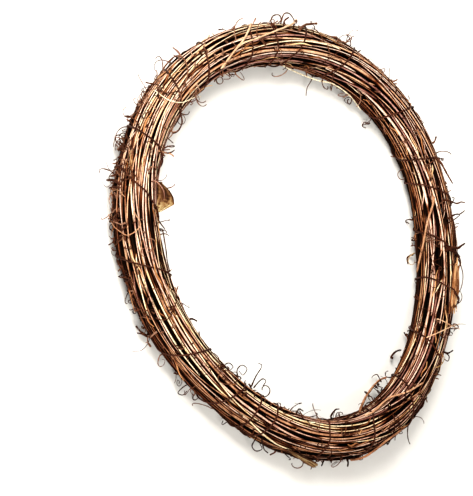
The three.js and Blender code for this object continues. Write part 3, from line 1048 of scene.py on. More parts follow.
@dataclass(frozen=True)
class StemForm:
    """How a stem grows: swollen joints with a bud, a slight zigzag, and lengthwise ribs."""

    joint_gap: Pair = (38.0, 80.0)
    joint_swell: float = 0.24
    joint_length: float = 1.7
    joint_shade: float = 0.34
    bud: float = 0.5
    zigzag: float = 0.3
    rib: float = 0.055

    def joints(self, length: float, random: Draws) -> Array:
        """Draws the places of the joints along a stem of a length.

        Args:
            length: The stem's length.
            random: The draws.

        Returns:
            Their distances from its start.
        """
        gaps = random.uniform(*self.joint_gap, size=int(length / self.joint_gap[0]) + 2)
        places = np.cumsum(gaps) - random.uniform(0, self.joint_gap[0])
        return places[(places > 3) & (places < length - 3)]

    def radii(self, along: Array, radius: Array, joints: Array, sides: int, random: Draws) -> Array:
        """Works out the radius of each side of each section.

        It is the stem's own radius times one, plus two slow waves round the section that turn along
        the stem, plus a bell-shaped swelling at each joint, higher on the side of its bud.

        Args:
            along: Distance of each section from the root.
            radius: The stem's own radius there.
            joints: Places of the joints.
            sides: Number of sides.
            random: The draws.

        Returns:
            One row for each section.
        """
        angle = round_angles(sides)
        a, b, c, d = random.uniform(0, TURN, 4)
        twist = random.uniform(-0.05, 0.05, 2)
        factor = 1 + self.rib * np.sin(3 * angle + a + twist[0] * along[:, None])
        factor += 0.6 * self.rib * np.sin(5 * angle + b - 2 * twist[1] * along[:, None])
        factor += 0.05 * np.sin(along / 9.0 + c)[:, None] + 0.04 * np.sin(along / 3.7 + d)[:, None]
        if len(joints):
            bell = np.exp(-(((along[:, None] - joints) / self.joint_length) ** 2))
            facing = np.maximum(0, np.cos(angle[:, None] - random.uniform(0, TURN, len(joints)))) ** 3
            factor += self.joint_swell * bell.sum(axis=1)[:, None]
            factor += self.bud * bell @ facing.T
        return radius[:, None] * factor

    def shade(self, along: Array, joints: Array) -> Array:
        """Gives how much darker the bark is round the joints: a bell at each, wider than the swelling.

        Args:
            along: Distance of each section from the root.
            joints: Places of the joints.

        Returns:
            One value for each section.
        """
        if not len(joints):
            return np.zeros(len(along))
        bell = np.exp(-(((along[:, None] - joints) / (1.5 * self.joint_length)) ** 2))
        return self.joint_shade * bell.max(axis=1)

    def sway(self, along: Array, joints: Array, random: Draws) -> Array:
        """Gives the sideways steps of the zigzag: straight from joint to joint, and softened.

        Args:
            along: Distance of each section from the root.
            joints: Places of the joints.
            random: The draws.

        Returns:
            Two steps for each section, outwards and upwards.
        """
        if not len(joints):
            return np.zeros((len(along), 2))
        knots = np.concatenate([[along[0] - 1], joints, [along[-1] + 1]])
        side = random.uniform(-self.zigzag, self.zigzag, (len(knots), 2))
        side[0] = side[-1] = 0
        return smooth_between(along, knots, side)


@dataclass
class Vines:
    """The CAD's vines, made again as slimmer, finer stems on the same middle lines.

    A vine that comes down to the resting height lies on the floor, and below the steady height it is
    straighter and smoother.
    """

    ring: Ring
    nodes: dict[str, bpy.types.Object]
    slots: dict[str, str]
    form: StemForm = StemForm()
    slimmer: Pair = (0.4, 0.64)
    inner_slimmer: Pair = (0.6, 0.8)
    step: float = math.radians(0.75)
    inner_step: float = math.radians(2.0)
    sides: int = 10
    inner_sides: int = 7
    shoot_sides: int = 6
    tendril_tip: float = 0.32
    tendril_radius: Pair = (0.44, 0.15)
    stub_tip: float = 0.6
    stub_radius: Pair = (0.85, 0.5)
    rests: tuple[float, ...] = (-142.0, -67.0, -14.0, 42.0, 121.0, 162.0)
    resting: float = 0.35
    floor_air: float = 0.02
    steady: float = 0.9
    seed: int = 5

    def read(self) -> list[Stem]:
        """Reads every vine and its shoots from the CAD nodes.

        Returns:
            The vines, by name.
        """
        random = np.random.default_rng(self.seed)
        stems = []
        for name in sorted(n for n in self.nodes if "_vine_" in n):
            cad = CadNode.read(self.ring, name, self.nodes[name])
            stem = cad.stem(self.rests)
            stem.tone = random.uniform(*TONE_OF_SLOT[self.slots[name]])
            outer = name.startswith("outer")
            stem.slimmer = random.uniform(*(self.slimmer if outer else self.inner_slimmer))
            stem.shoots = cad.shoots(self.tendril_tip)
            stem.stubs = cad.shoots(self.stub_tip)
            stems.append(stem)
        LOG.info("vines read: %d, shoots: %d", len(stems), sum(len(s.shoots) for s in stems))
        return stems

    def slim(self, stem: Stem) -> Stem:
        """Makes a stem slimmer, and keeps it on the floor where it rests.

        Args:
            stem: The stem.

        Returns:
            The slimmer one.
        """
        thin = stem.r * stem.slimmer
        below = self.ring.middle[2]
        z = np.where(stem.z - stem.r < self.resting - below, thin - below + self.floor_air, stem.z)
        return replace(stem, z=z, r=thin)

    def build(self, stems: list[Stem], skin: Outline) -> None:
        """Makes one piece for each vine, with its shoots."""
        for number, stem in enumerate(stems):
            self.build_one(stem, skin, np.random.default_rng((self.seed, number)))

    def build_one(self, stem: Stem, skin: Outline, random: Draws) -> None:
        """Makes one vine: a tube whose sections start on its outward side, and its shoots.

        Args:
            stem: The vine.
            skin: The bundle's outline, for the painted shade.
            random: The draws.
        """
        outer = stem.name.startswith("outer")
        step, sides = (self.step, self.sides) if outer else (self.inner_step, self.inner_sides)
        count = int((stem.u[-1] - stem.u[0]) / step)
        u = np.linspace(stem.u[0], stem.u[-1], count)
        x, z, r = stem.at(u)
        along = lengths_along(self.ring.place(u, x, z))
        joints = self.form.joints(along[-1], random)
        side = self.form.sway(along, joints, random)
        low = np.maximum(0.0, self.steady - (z + self.ring.middle[2] - r))
        keep = (1 - ease(low, 0.0, 0.5))[:, None]
        x, z = x + side[:, 0] * keep[:, 0], z + side[:, 1] * keep[:, 0]
        path = self.ring.place(u, x, z)
        radii = self.form.radii(along, r, joints, sides, random)
        radii = np.where(keep < 1, np.minimum(radii, r[:, None] * (1 + 0.3 * keep)), radii)
        shell = Shell(self.ring, skin)
        across = self.ring.outwards(u, np.zeros_like(u))
        offset = random.uniform(0, GRAIN_STARTS)
        tone = stem.tone - self.form.shade(along, joints)
        shell.tube(path, radii, across, tone, offset, (0.05, 0.05))
        for shoots, radius in ((stem.shoots, self.tendril_radius), (stem.stubs, self.stub_radius)):
            for shoot in shoots:
                self.shoot(shell, stem, shoot, radius, random)
        shell.piece(f"fine_{stem.name}", BARK_OF_SLOT[self.slots[stem.name]], (stem.name,))

    def shoot(self, shell: Shell, stem: Stem, line: Array, radius: Pair, random: Draws) -> None:
        """Adds a finer shoot on the CAD's line, rooted in the vine's middle.

        Args:
            shell: Where it goes.
            stem: The vine.
            line: The CAD's line.
            radius: Its radius at the root and at the tip.
            random: The draws.
        """
        u, _, _ = self.ring.unroll(line[:1])
        at = np.minimum(stem.u[0] + (u - stem.u[0]) % TURN, stem.u[-1])
        x, z, _ = stem.at(at)
        path = curve_through(np.concatenate([self.ring.place(at, x, z), line]), 6)
        share = np.linspace(0, 1, len(path))
        taper = between(radius, share**0.8)
        ripple = 1 + 0.12 * np.sin(np.arange(len(path)) * 0.9 + random.uniform(0, TURN))
        tone = 0.6 * stem.tone - 0.2 - 0.15 * share
        offset = random.uniform(0, GRAIN_STARTS)
        shell.sprig(path, taper * ripple, self.shoot_sides, tone, offset, (0.15, 0.15), 1.0)


@dataclass
class Cover:
    """How far stems cover the bundle's skin, as a table over the angles u and phi."""

    share: Array

    def stroke(self, phi: Array, half: Array) -> Array:
        """Gives the share of each column that a stem covers, a row for each of its stations.

        Args:
            phi: The stem's angle at each station.
            half: Half the angle that it takes up there.

        Returns:
            The shares.
        """
        columns = self.share.shape[1]
        cell = TURN / columns
        apart = turn_from_zero(phi[:, None] - np.arange(columns) * cell)
        return np.clip((half[:, None] - apart) / cell + 0.5, 0, 1)

    def add(self, rows: Array, phi: Array, half: Array) -> None:
        """Counts a stem in."""
        self.share[rows] += self.stroke(phi, half)

    def under(self, rows: Array, phi: Array, half: Array) -> float:
        """Gives the mean cover that is there already where a stem would run."""
        stroke = self.stroke(phi, half)
        return float((self.share[rows] * stroke).sum() / max(stroke.sum(), 1e-9))

    def mean(self) -> float:
        """Gives the covered share of the whole skin."""
        return float(np.minimum(self.share, 1).mean())


# Depth under the outline in millimetres, and range of tones, of the thin stems of each kind
DEPTHS = {Lie.SKIN: 0.15, Lie.ACROSS: 0.0, Lie.UNDER: 3.4}
# The stems under the skin get darker tones: painted shade in the gaps between the stems over them
TONES = {Lie.SKIN: (0.3, 0.9), Lie.ACROSS: (0.3, 0.85), Lie.UNDER: (0.15, 0.45)}


@dataclass(frozen=True)
class Route:
    """The way of a thin stem before it is pushed clear: its stations in order, with phi and depth."""

    lie: Lie
    radius: float
    rows: Array
    phi: Array
    depth: Array

    def half(self, ring: Ring) -> Array:
        """Gives half the angle that the stem takes up round the section."""
        return np.full(len(self.rows), self.radius / ring.bundle)


@dataclass
class Crowd:
    """Stems as circles in the sections, a row for each stem and a column for each station.

    The thin ones start at their home and move, and the vines stay. The bulge is how far a stem may
    stand out between the turns of the wire, where the gap to the wire is wide, by whether it crosses.
    """

    limit: Outline
    gap: Outline
    u: Array
    phi: Array
    depth: Array
    radius: Array
    over: Array
    present: Array
    vines: Array
    vine_radius: Array
    air: float = 0.15
    longest_step: float = 0.5
    absent: float = 1e4
    near_wire: Pair = (1.5, 11.0)
    bulges: Pair = (0.75, 0.35)
    under_wire: float = 0.1
    pull: float = 0.03
    pulled_rounds: float = 0.7

    def __post_init__(self) -> None:
        """Puts the thin stems where they set out."""
        reach = self.room(self.phi, self.depth)
        self.home = np.stack([reach * np.cos(self.phi), reach * np.sin(self.phi)], -1)
        self.spot = np.where(self.present[..., None], self.home, self.absent)

    def room(self, phi: Array, depth: Array | float) -> Array:
        """Gives how far out a stem may lie.

        Args:
            phi: Its angle, for each stem and station.
            depth: Its depth under the outline.

        Returns:
            The furthest place of its middle.
        """
        most = np.where(self.over, *self.bulges)[:, None]
        bulge = ease(self.gap.at(self.u, phi), *self.near_wire) * most - self.under_wire
        return self.limit.at(self.u, phi) - self.radius[:, None] - depth + bulge

    def away(self, others: Array, sizes: Array, share: Array) -> Array:
        """Adds up the steps that take the thin stems away from what they overlap.

        Each goes along the line between two middles, by a share of the overlap.

        Args:
            others: Places of the others.
            sizes: The two radii together, for each pair.
            share: The share, for each pair.

        Returns:
            A step for each place.
        """
        apart = self.spot[:, None] - others[None]
        distance = np.linalg.norm(apart, axis=-1)
        overlap = np.clip(sizes + self.air - distance, 0, None) * share
        return (apart / np.maximum(distance, 1e-6)[..., None] * overlap[..., None]).sum(axis=1)

    def push(self) -> None:
        """Moves each thin stem away from the thin stems and the vines that it overlaps."""
        size = self.radius[:, None]
        share = np.where(self.over[:, None] & ~self.over[None], 0.25, 0.5)[..., None]
        step = self.away(self.spot, (size + size.T)[..., None], share)
        share = np.where(self.over, 0.3, 0.8)[:, None, None]
        step += self.away(self.vines, size[..., None] + self.vine_radius[None], share)
        self.spot = self.spot + np.clip(step, -self.longest_step, self.longest_step)

    def smooth(self, pull: float) -> None:
        """Evens each stem out along its length, and draws it by a share of the way to its home.

        Args:
            pull: The share.
        """
        before, after = (np.roll(self.spot, by, axis=1) for by in (1, -1))
        both = np.roll(self.present, 1, axis=1) & np.roll(self.present, -1, axis=1) & self.present
        spot = np.where(both[..., None], 0.55 * self.spot + 0.225 * (before + after), self.spot)
        self.spot = np.where(self.present[..., None], spot + pull * (self.home - spot), spot)

    def hold(self) -> None:
        """Brings back what lies further out than it may."""
        reach = np.linalg.norm(self.spot, axis=-1)
        most = self.room(np.arctan2(self.spot[..., 1], self.spot[..., 0]), 0.0)
        factor = np.where(self.present, np.minimum(1, most / np.maximum(reach, 1e-6)), 1.0)
        self.spot = self.spot * factor[..., None]

    def settle(self, rounds: int) -> None:
        """Lets the thin stems find their places.

        Args:
            rounds: Number of rounds.
        """
        for turn in range(rounds):
            self.push()
            self.smooth(self.pull if turn < rounds * self.pulled_rounds else 0.0)
            self.hold()


@dataclass
class ThinStems:
    """The many thin stems that fill the skin of the bundle, and those that cross over it."""

    ring: Ring
    form: StemForm = StemForm((26.0, 60.0), joint_swell=0.22, joint_length=1.4, rib=0.05)
    stations: int = 90
    fill: float = 0.78
    most: int = 170
    across_count: int = 46
    under_count: int = 36
    trials: int = 16
    near_skin: float = 2.4
    radius: Pair = (0.4, 0.85)
    length: Pair = (90, 320)
    slope: float = 0.095
    across_radius: Pair = (0.38, 0.66)
    across_length: Pair = (32, 90)
    across_slope: Pair = (0.15, 0.5)
    most_drift: float = 1.9
    dive: float = 1.4
    rounds: int = 100
    quick_rounds: int = 24
    sides: int = 7
    finer: int = 3
    groups: int = 3
    end_length: float = 0.06
    end_tuck: float = 0.07
    end_taper: float = 0.35
    seed: int = 77

    def draw(self, lie: Lie, random: Draws) -> Route:
        """Draws the route of one thin stem.

        Its angle phi drifts evenly from end to end, with a slow wave on it, and its depth has a few
        dives under its neighbours.

        Args:
            lie: Where in the bundle it lies.
            random: The draws.

        Returns:
            The route.
        """
        over = lie is Lie.ACROSS
        radius = random.uniform(*(self.across_radius if over else self.radius))
        length = random.uniform(*(self.across_length if over else self.length))
        per_turn = TURN * self.ring.radius / self.stations
        count = int(np.clip(length / per_turn, 4, self.stations * 0.9)) + 1
        share = np.linspace(0, 1, count)
        if over:
            way = random.choice([-1, 1]) * random.uniform(*self.across_slope)
        else:
            way = random.normal(0, self.slope)
        drift = np.clip(way * length / self.ring.bundle, -self.most_drift, self.most_drift)
        wave = np.sin(np.arange(count) * random.uniform(0.35, 0.9) + random.uniform(0, TURN))
        phi = random.uniform(0, TURN) + drift * (share - 0.5) + random.uniform(0.02, 0.1) * wave
        dives = self.dive * np.sin(share * random.uniform(3, 10)) ** 2 if lie is Lie.SKIN else 0 * share
        rows = (int(random.integers(self.stations)) + np.arange(count)) % self.stations
        return Route(lie, radius, rows, phi, DEPTHS[lie] + dives)

    def routes(self, vines: Array, limit: Outline) -> list[Route]:
        """Draws the routes, each the one of several that runs where the skin is barest.

        Args:
            vines: For each vine x, z and radius at each station, NaN where it isn't there.
            limit: The outline of the bundle.

        Returns:
            The routes.
        """
        random = np.random.default_rng(self.seed)
        cover = Cover(np.zeros((self.stations, limit.columns)))
        angles = round_angles(self.stations)
        for x, z, r in vines:
            phi = np.arctan2(z, x)
            reach = np.hypot(x, z)
            rows = np.flatnonzero(limit.at(angles, np.nan_to_num(phi)) - reach - r < self.near_skin)
            cover.add(rows, phi[rows], (r / reach)[rows])
        bare = cover.mean()
        routes = []
        kinds = [Lie.UNDER] * self.under_count + [Lie.ACROSS] * self.across_count
        kinds += [Lie.SKIN] * self.most
        for lie in kinds:
            if lie is Lie.SKIN and cover.mean() > self.fill:
                break
            drawn = [self.draw(lie, random) for _ in range(self.trials)]
            best = min(drawn, key=lambda route: cover.under(route.rows, route.phi, route.half(self.ring)))
            routes.append(best)
            if lie is not Lie.UNDER:
                cover.add(best.rows, best.phi, best.half(self.ring))
        LOG.info("skin covered: %.2f by vines, %.2f with %d thin stems", bare, cover.mean(), len(routes))
        return routes

    def lay(self, vines: list[Stem], limit: Outline, wire_gap: Array) -> list[Stem]:
        """Lays the thin stems among the vines, and pushes them apart.

        Args:
            vines: The slim vines, which stay where they are.
            limit: The outline that no thin stem passes.
            wire_gap: For each station and column of the outline, how far the wire lies away.

        Returns:
            The thin stems.
        """
        fixed = tabled(vines, self.stations)
        routes = self.routes(fixed, limit)
        present = np.zeros((len(routes), self.stations), bool)
        phi, depth = np.zeros(present.shape), np.zeros(present.shape)
        for row, route in enumerate(routes):
            present[row, route.rows] = True
            phi[row, route.rows] = route.phi
            depth[row, route.rows] = route.depth
        crowd = Crowd(
            limit=limit,
            gap=Outline(wire_gap),
            u=np.broadcast_to(round_angles(self.stations), phi.shape),
            phi=phi,
            depth=depth,
            radius=np.array([route.radius for route in routes]),
            over=np.array([route.lie is Lie.ACROSS for route in routes]),
            present=present,
            vines=np.nan_to_num(np.stack([fixed[:, 0], fixed[:, 1]], -1), nan=-1e4),
            vine_radius=np.nan_to_num(fixed[:, 2], nan=0.0),
        )
        crowd.settle(self.rounds)
        random = np.random.default_rng(self.seed + 1)
        return [self.stem_of(i, route, crowd.spot[i], random) for i, route in enumerate(routes)]

    def stem_of(self, number: int, route: Route, spot: Array, random: Draws) -> Stem:
        """Follows a route through the places that its stem has found.

        Args:
            number: The stem's number.
            route: The route.
            spot: The stem's place at each station.
            random: The draws.

        Returns:
            The stem, a little thinner at its end than at its start.
        """
        u = round_angles(self.stations)[route.rows]
        u = u[0] + (u - u[0]) % TURN
        x, z = spot[route.rows, 0], spot[route.rows, 1]
        radius = route.radius * np.linspace(1.1, 0.85, len(u))
        return Stem(f"{route.lie.value}_{number}", u, x, z, radius, random.uniform(*TONES[route.lie]))

    def build(self, stems: list[Stem], skin: Outline) -> None:
        """Makes the thin stems, gathered by their tone and by where they start.

        Args:
            stems: The thin stems.
            skin: The bundle's outline, for the painted shade.
        """
        shelf: dict[tuple[str, int], Shell] = {}
        for number, stem in enumerate(stems):
            random = np.random.default_rng((self.seed, number))
            slot = self.slot_for(stem.tone)
            part = int((stem.u[0] % TURN) / TURN * self.groups) % self.groups
            self.add(shelf.setdefault((slot, part), Shell(self.ring, skin)), stem, random)
        for (slot, part), shell in sorted(shelf.items()):
            shell.piece(f"thin_stems_{slot[5:]}_{part + 1}", BARK_OF_SLOT[slot])

    @staticmethod
    def slot_for(tone: float) -> str:
        """Names the slot whose tones hold a tone."""
        slots = (s.value for s in (Slot.UMBER, Slot.BROWN, Slot.TAN))
        return next((s for s in slots if tone < TONE_OF_SLOT[s][1] + 0.02), Slot.STRAW.value)

    def add(self, shell: Shell, stem: Stem, random: Draws) -> None:
        """Adds one thin stem: a curve through its stations, with its joints and ribs.

        Args:
            shell: Where it goes.
            stem: The stem.
            random: The draws.
        """
        knots = np.stack([stem.u, stem.x, stem.z, stem.r], axis=1)
        u, x, z, r = curve_through(knots, self.finer).T
        share = np.linspace(0, 1, len(u))
        end = np.maximum(ease(-share, -self.end_length, 0.0), ease(share, 1 - self.end_length, 1.0))
        x, z = x * (1 - self.end_tuck * end), z * (1 - self.end_tuck * end)
        r = r * (1 - self.end_taper * end)
        along = lengths_along(self.ring.place(u, x, z))
        joints = self.form.joints(along[-1], random)
        side = self.form.sway(along, joints, random)
        path = self.ring.place(u, x + side[:, 0], z + side[:, 1])
        radii = self.form.radii(along, r, joints, self.sides, random)
        across = carried_across(path, self.ring.outwards(u[:1], np.zeros(1))[0])
        tone = stem.tone - self.form.shade(along, joints)
        shell.tube(path, radii, across, tone, random.uniform(0, GRAIN_STARTS), (0.1, 0.1))


# The wire


@dataclass
class Binding:
    """The one wire that is wound round the bundle, close to the stems as they lie."""

    ring: Ring
    node: bpy.types.Object
    radius: float = 0.56
    ring_width: float = 1.4
    air: float = 0.04
    sides: int = 8
    per_turn: int = 64
    wobble: float = 0.5
    seed: int = 9

    def corners(self) -> Array:
        """Finds the CAD wire's corners, in order, from the rings of its mesh.

        Returns:
            The corners, from one end to the other.
        """
        cad = CadNode.read(self.ring, "binding_wire", self.node)
        points = cad.corners
        near = np.linalg.norm(points[:, None] - points[None], axis=2) < self.ring_width
        label = np.argmax(near, axis=1)
        names, label = np.unique(label, return_inverse=True)
        middle = np.array([points[label == k].mean(axis=0) for k in range(len(names))])
        links: dict[int, set[int]] = {k: set() for k in range(len(names))}
        for a, b in np.concatenate([cad.faces[:, [0, 1]], cad.faces[:, [1, 2]]]).tolist():
            if label[a] != label[b]:
                links[int(label[a])].add(int(label[b]))
                links[int(label[b])].add(int(label[a]))
        here = min(k for k, v in links.items() if len(v) == 1)
        order = [here]
        while onward := links[order[-1]] - set(order[-2:]):
            order.append(onward.pop())
        return middle[order]

    def windings(self) -> tuple[Array, Array]:
        """Gives the wire's angle round the ring and round the section, both without jumps.

        Returns:
            The two angles at each corner.
        """
        u, x, z = self.ring.unroll(self.corners())
        u, phi = np.unwrap(u), np.unwrap(np.arctan2(z, x))
        if phi[-1] < phi[0]:
            u, phi = u[::-1], phi[::-1]
        return u, phi

    def gap_table(self, rows: int, columns: int) -> Array:
        """Measures how far the nearest turn lies, along the ring, from each place on the bundle.

        Args:
            rows: Number of angles u.
            columns: Number of angles phi.

        Returns:
            The distances.
        """
        u, phi = self.windings()
        table = np.empty((rows, columns))
        angles = round_angles(rows)
        for column in range(columns):
            aim = column * TURN / columns
            least, most = math.ceil((phi[0] - aim) / TURN), math.floor((phi[-1] - aim) / TURN)
            aims = aim + TURN * np.arange(least, most + 1)
            turns = np.interp(aims, phi, u)
            apart = turn_from_zero(angles[:, None] - turns[None]).min(axis=1)
            table[:, column] = apart * self.ring.radius
        return table

    def build(self, outline: Outline) -> None:
        """Makes the wire: it runs on the stems' outline, and its angle u drifts a little.

        Args:
            outline: The outline of all the stems that it binds.
        """
        random = np.random.default_rng(self.seed)
        u, phi = self.windings()
        count = int((phi[-1] - phi[0]) / TURN * self.per_turn)
        fine = np.linspace(phi[0], phi[-1], count)
        turn = np.interp(fine, phi, u)
        kernel = np.hanning(9) / np.hanning(9).sum()
        turn = np.convolve(np.pad(turn, 4, mode="edge"), kernel, mode="valid")
        knots = np.linspace(phi[0], phi[-1], int((phi[-1] - phi[0]) / 0.5))
        drift = random.uniform(-self.wobble, self.wobble, (len(knots), 2))
        shift = smooth_between(fine, knots, drift)
        turn = turn + shift[:, 0] / self.ring.radius
        out = outline.at(turn, fine) + self.radius + self.air + 0.12 * np.abs(shift[:, 1])
        path = self.ring.around(turn, fine, out)
        path[:, 2] = np.maximum(path[:, 2], self.radius + 0.03)
        shell = Shell(self.ring)
        shell.sprig(path, np.full(len(path), self.radius), self.sides, 0.5, 0.0, (0.3, 0.3))
        shell.piece("wound_wire", WIRE_SKIN, ("binding_wire",))


# The photo's view and the studio


@dataclass(frozen=True)
class View:
    """The camera as it saw the ring: it looks at the ring's middle, tilted and rolled, from afar."""

    tilt: float = math.radians(42.39)
    roll: float = math.radians(75.37)
    shift_x: float = 40.2
    shift_y: float = 7.4
    distance: float = 1981.0
    pixels: float = 2926.5
    sensor: float = 36.0
    search: float = 200.0
    search_steps: int = 1601

    def axes(self) -> tuple[Array, Array, Array]:
        """Gives the directions of the picture's right, its top and back towards the camera.

        Returns:
            The three unit vectors.
        """
        back = np.array([0.0, -math.sin(self.tilt), math.cos(self.tilt)])
        right = np.array([1.0, 0.0, 0.0])
        up = np.array([0.0, math.cos(self.tilt), math.sin(self.tilt)])
        across = math.cos(self.roll) * right + math.sin(self.roll) * up
        top = -math.sin(self.roll) * right + math.cos(self.roll) * up
        return across, top, back

    def eye(self, ring: Ring) -> Array:
        """Gives the camera's place in the part's frame."""
        across, top, back = self.axes()
        return ring.middle - self.shift_x * across - self.shift_y * top + self.distance * back

    def on_bundle(self, ring: Ring, spots: Array, proud: Array) -> Array:
        """Finds where lines of sight through spots of the photo come to the bundle.

        Args:
            ring: The ring.
            spots: Pixel coordinates, one row each.
            proud: Height over the bundle's surface for each spot.

        Returns:
            The first point at that height on each line, or its closest point to it.
        """
        across, top, back = self.axes()
        eye = self.eye(ring)
        x = (spots[:, 0] - PHOTO_WIDTH / 2) / self.pixels
        y = (spots[:, 1] - PHOTO_HEIGHT / 2) / self.pixels
        sight = unit(x[:, None] * across - y[:, None] * top - back)
        far = np.linspace(self.distance - self.search, self.distance + self.search, self.search_steps)
        points = eye + far[None, :, None] * sight[:, None]
        u, out, up = ring.unroll(points)
        height = np.hypot(out, up) - ring.bundle_at(u) - proud[:, None]
        inside = height < 0
        first = np.where(inside.any(axis=1), inside.argmax(axis=1), height.argmin(axis=1))
        return points[np.arange(len(spots)), first]

    def make_camera(self, ring: Ring) -> None:
        """Makes the scene's camera.

        Args:
            ring: The ring that it looks at.
        """
        across, top, back = self.axes()
        data = bpy.data.cameras.new("photo_camera")
        data.sensor_width = self.sensor
        data.lens = self.pixels * self.sensor / PHOTO_HEIGHT
        camera = shown("photo_camera", data)
        turn = Matrix([across, top, back]).transposed().to_4x4()
        turn.translation = Vector(self.eye(ring) * MM)
        camera.matrix_world = turn
        bpy.context.scene.camera = camera


# Tendrils, twigs and scraps


@dataclass(frozen=True)
class Kind:
    """One kind of fine growth, with its sizes in millimetres and its turns in degrees."""

    count: int
    length: Pair
    turn: Pair
    radius: Pair
    rise: Pair
    along: float
    tone: Pair
    sides: int = 4
    steps: int = 22


class Growth(Enum):
    """The kinds of fine growth on the bundle."""

    CURL = Kind(110, (6, 16), (160, 620), (0.44, 0.26), (0.2, 1.0), 1.0, (0.0, 0.3))
    SPUR = Kind(330, (2, 6.5), (0, 70), (0.68, 0.36), (0.35, 1.1), 1.0, (0.0, 0.55), 5, 7)
    HAIR = Kind(60, (9, 24), (40, 240), (0.3, 0.18), (0.1, 0.4), 1.6, (0.0, 0.3))
    HOOP = Kind(44, (12, 26), (90, 240), (0.42, 0.26), (0.02, 0.1), 0.8, (0.05, 0.5), 5, 30)
    KNOT = Kind(220, (7, 22), (120, 480), (0.42, 0.28), (0.0, 0.18), 0.7, (0.0, 0.45), 4, 26)


@dataclass
class Wisps:
    """Fine growth that stands out of the bundle all the way round, drawn by a seeded rule."""

    ring: Ring
    outline: Outline
    groups: int = 4
    root_depth: float = 0.9
    lowest: float = 0.4
    highest: float = 37.6
    furthest: float = 157.5
    clear_hole: float = 112.0
    tangled: Pair = (-2.6, -1.3)
    tangled_share: float = 0.22
    seed: int = 31

    def build(self) -> None:
        """Makes the growth, gathered in a few pieces by its place round the ring."""
        shells = [Shell(self.ring) for _ in range(self.groups)]
        random = np.random.default_rng(self.seed)
        for growth in Growth:
            kind = growth.value
            made = 0
            while made < kind.count:
                path = self.path(kind, random)
                if not self.fits(path):
                    continue
                made += 1
                u = math.atan2(path[0, 1], path[0, 0]) % TURN
                self.add(shells[int(u / TURN * self.groups) % self.groups], kind, path, random)
        for number, shell in enumerate(shells):
            shell.piece(f"fine_tendrils_{number + 1}", TENDRIL_BARK)

    def path(self, kind: Kind, random: Draws) -> Array:
        """Walks one growth's middle line.

        Its heading turns in a plane by an angle that grows with the square of the way, so that the
        tip is wound tighter than the root, and it drifts slowly out of that plane.

        Args:
            kind: The kind of growth.
            random: The draws.

        Returns:
            The points from the root, which lies in the skin, to the tip.
        """
        if random.random() < self.tangled_share:
            u, phi = random.uniform(*self.tangled), random.uniform(-0.8, 0.6)
        else:
            u, phi = random.uniform(0, TURN), random.uniform(-0.9, math.pi + 0.9)
        out = self.ring.outwards(u, phi)
        onward = self.ring.onwards(u)
        aside = np.cross(out, onward)
        way = random.uniform(0, TURN)
        flat = math.cos(way) * kind.along * onward + math.sin(way) * aside
        heading = unit(unit(flat) + random.uniform(*kind.rise) * out)
        plane = unit(random.normal(size=3) + 0.4 * out)
        side = unit(plane - np.dot(plane, heading) * heading)
        length = random.uniform(*kind.length)
        share = np.linspace(0, 1, kind.steps)
        angle = math.radians(random.uniform(*kind.turn)) * (0.35 * share + 0.65 * share**2)
        steps = np.cos(angle)[:, None] * heading + np.sin(angle)[:, None] * side
        drift = np.cross(heading, side) * random.uniform(-0.4, 0.4)
        steps = unit(steps + drift)
        root = self.ring.around(u, phi, self.outline.at(u, phi) - self.root_depth)
        walk = np.cumsum(np.concatenate([np.zeros((1, 3)), steps[:-1]]), axis=0)
        return self.lifted(root + walk * length / (kind.steps - 1))

    def lifted(self, path: Array) -> Array:
        """Pushes points that would be inside the bundle out to its skin, the root apart.

        Args:
            path: The points of one growth.

        Returns:
            The points, pushed out.
        """
        u, x, z = self.ring.unroll(path)
        phi, reach = np.arctan2(z, x), np.hypot(x, z)
        least = self.outline.at(u, phi) + 0.35 - 1.2 * (1 - ease(np.arange(len(path)), 0, 4))
        return self.ring.around(u, phi, np.maximum(reach, least))

    def fits(self, path: Array) -> bool:
        """Tells whether a path stays over the floor, under the top, in the box and out of the hole.

        Args:
            path: The points of one growth.

        Returns:
            True where it does.
        """
        from_middle = np.hypot(*(path - self.ring.middle)[:, :2].T)
        return bool(
            path[:, 2].min() > self.lowest
            and path[:, 2].max() < self.highest
            and np.abs(path[:, :2]).max() < self.furthest
            and from_middle.min() > self.clear_hole
        )

    @staticmethod
    def add(shell: Shell, kind: Kind, path: Array, random: Draws) -> None:
        """Adds one growth as a tube that tapers to its tip.

        Args:
            shell: Where it goes.
            kind: The kind of growth.
            path: Its points.
            random: The draws.
        """
        share = np.linspace(0, 1, len(path))
        size = random.uniform(0.75, 1.25)
        taper = between(kind.radius, share**0.7) * size
        knots = 1 + 0.14 * np.sin(share * random.uniform(9, 30) + random.uniform(0, TURN))
        tone = random.uniform(*kind.tone)
        offset = random.uniform(0, GRAIN_STARTS)
        shell.sprig(path, taper * knots, kind.sides, tone, offset, (0.1, 0.6))


# Tones of twigs: below MIDDLING a twig is a dark tendril, and from PALE it is straw
PALE, MIDDLING, DARK = 0.76, 0.3, 0.1


@dataclass(frozen=True)
class Twig:
    """A tendril or loose stem that the photo shows.

    The spots are x and y of pixels of the photo, in turn. The heights say how far it lies off the
    bundle's surface, in millimetres, and are spread evenly over the spots, from the root to the tip.
    """

    spots: tuple[float, ...]
    heights: tuple[float, ...]
    radius: Pair
    tone: float = DARK


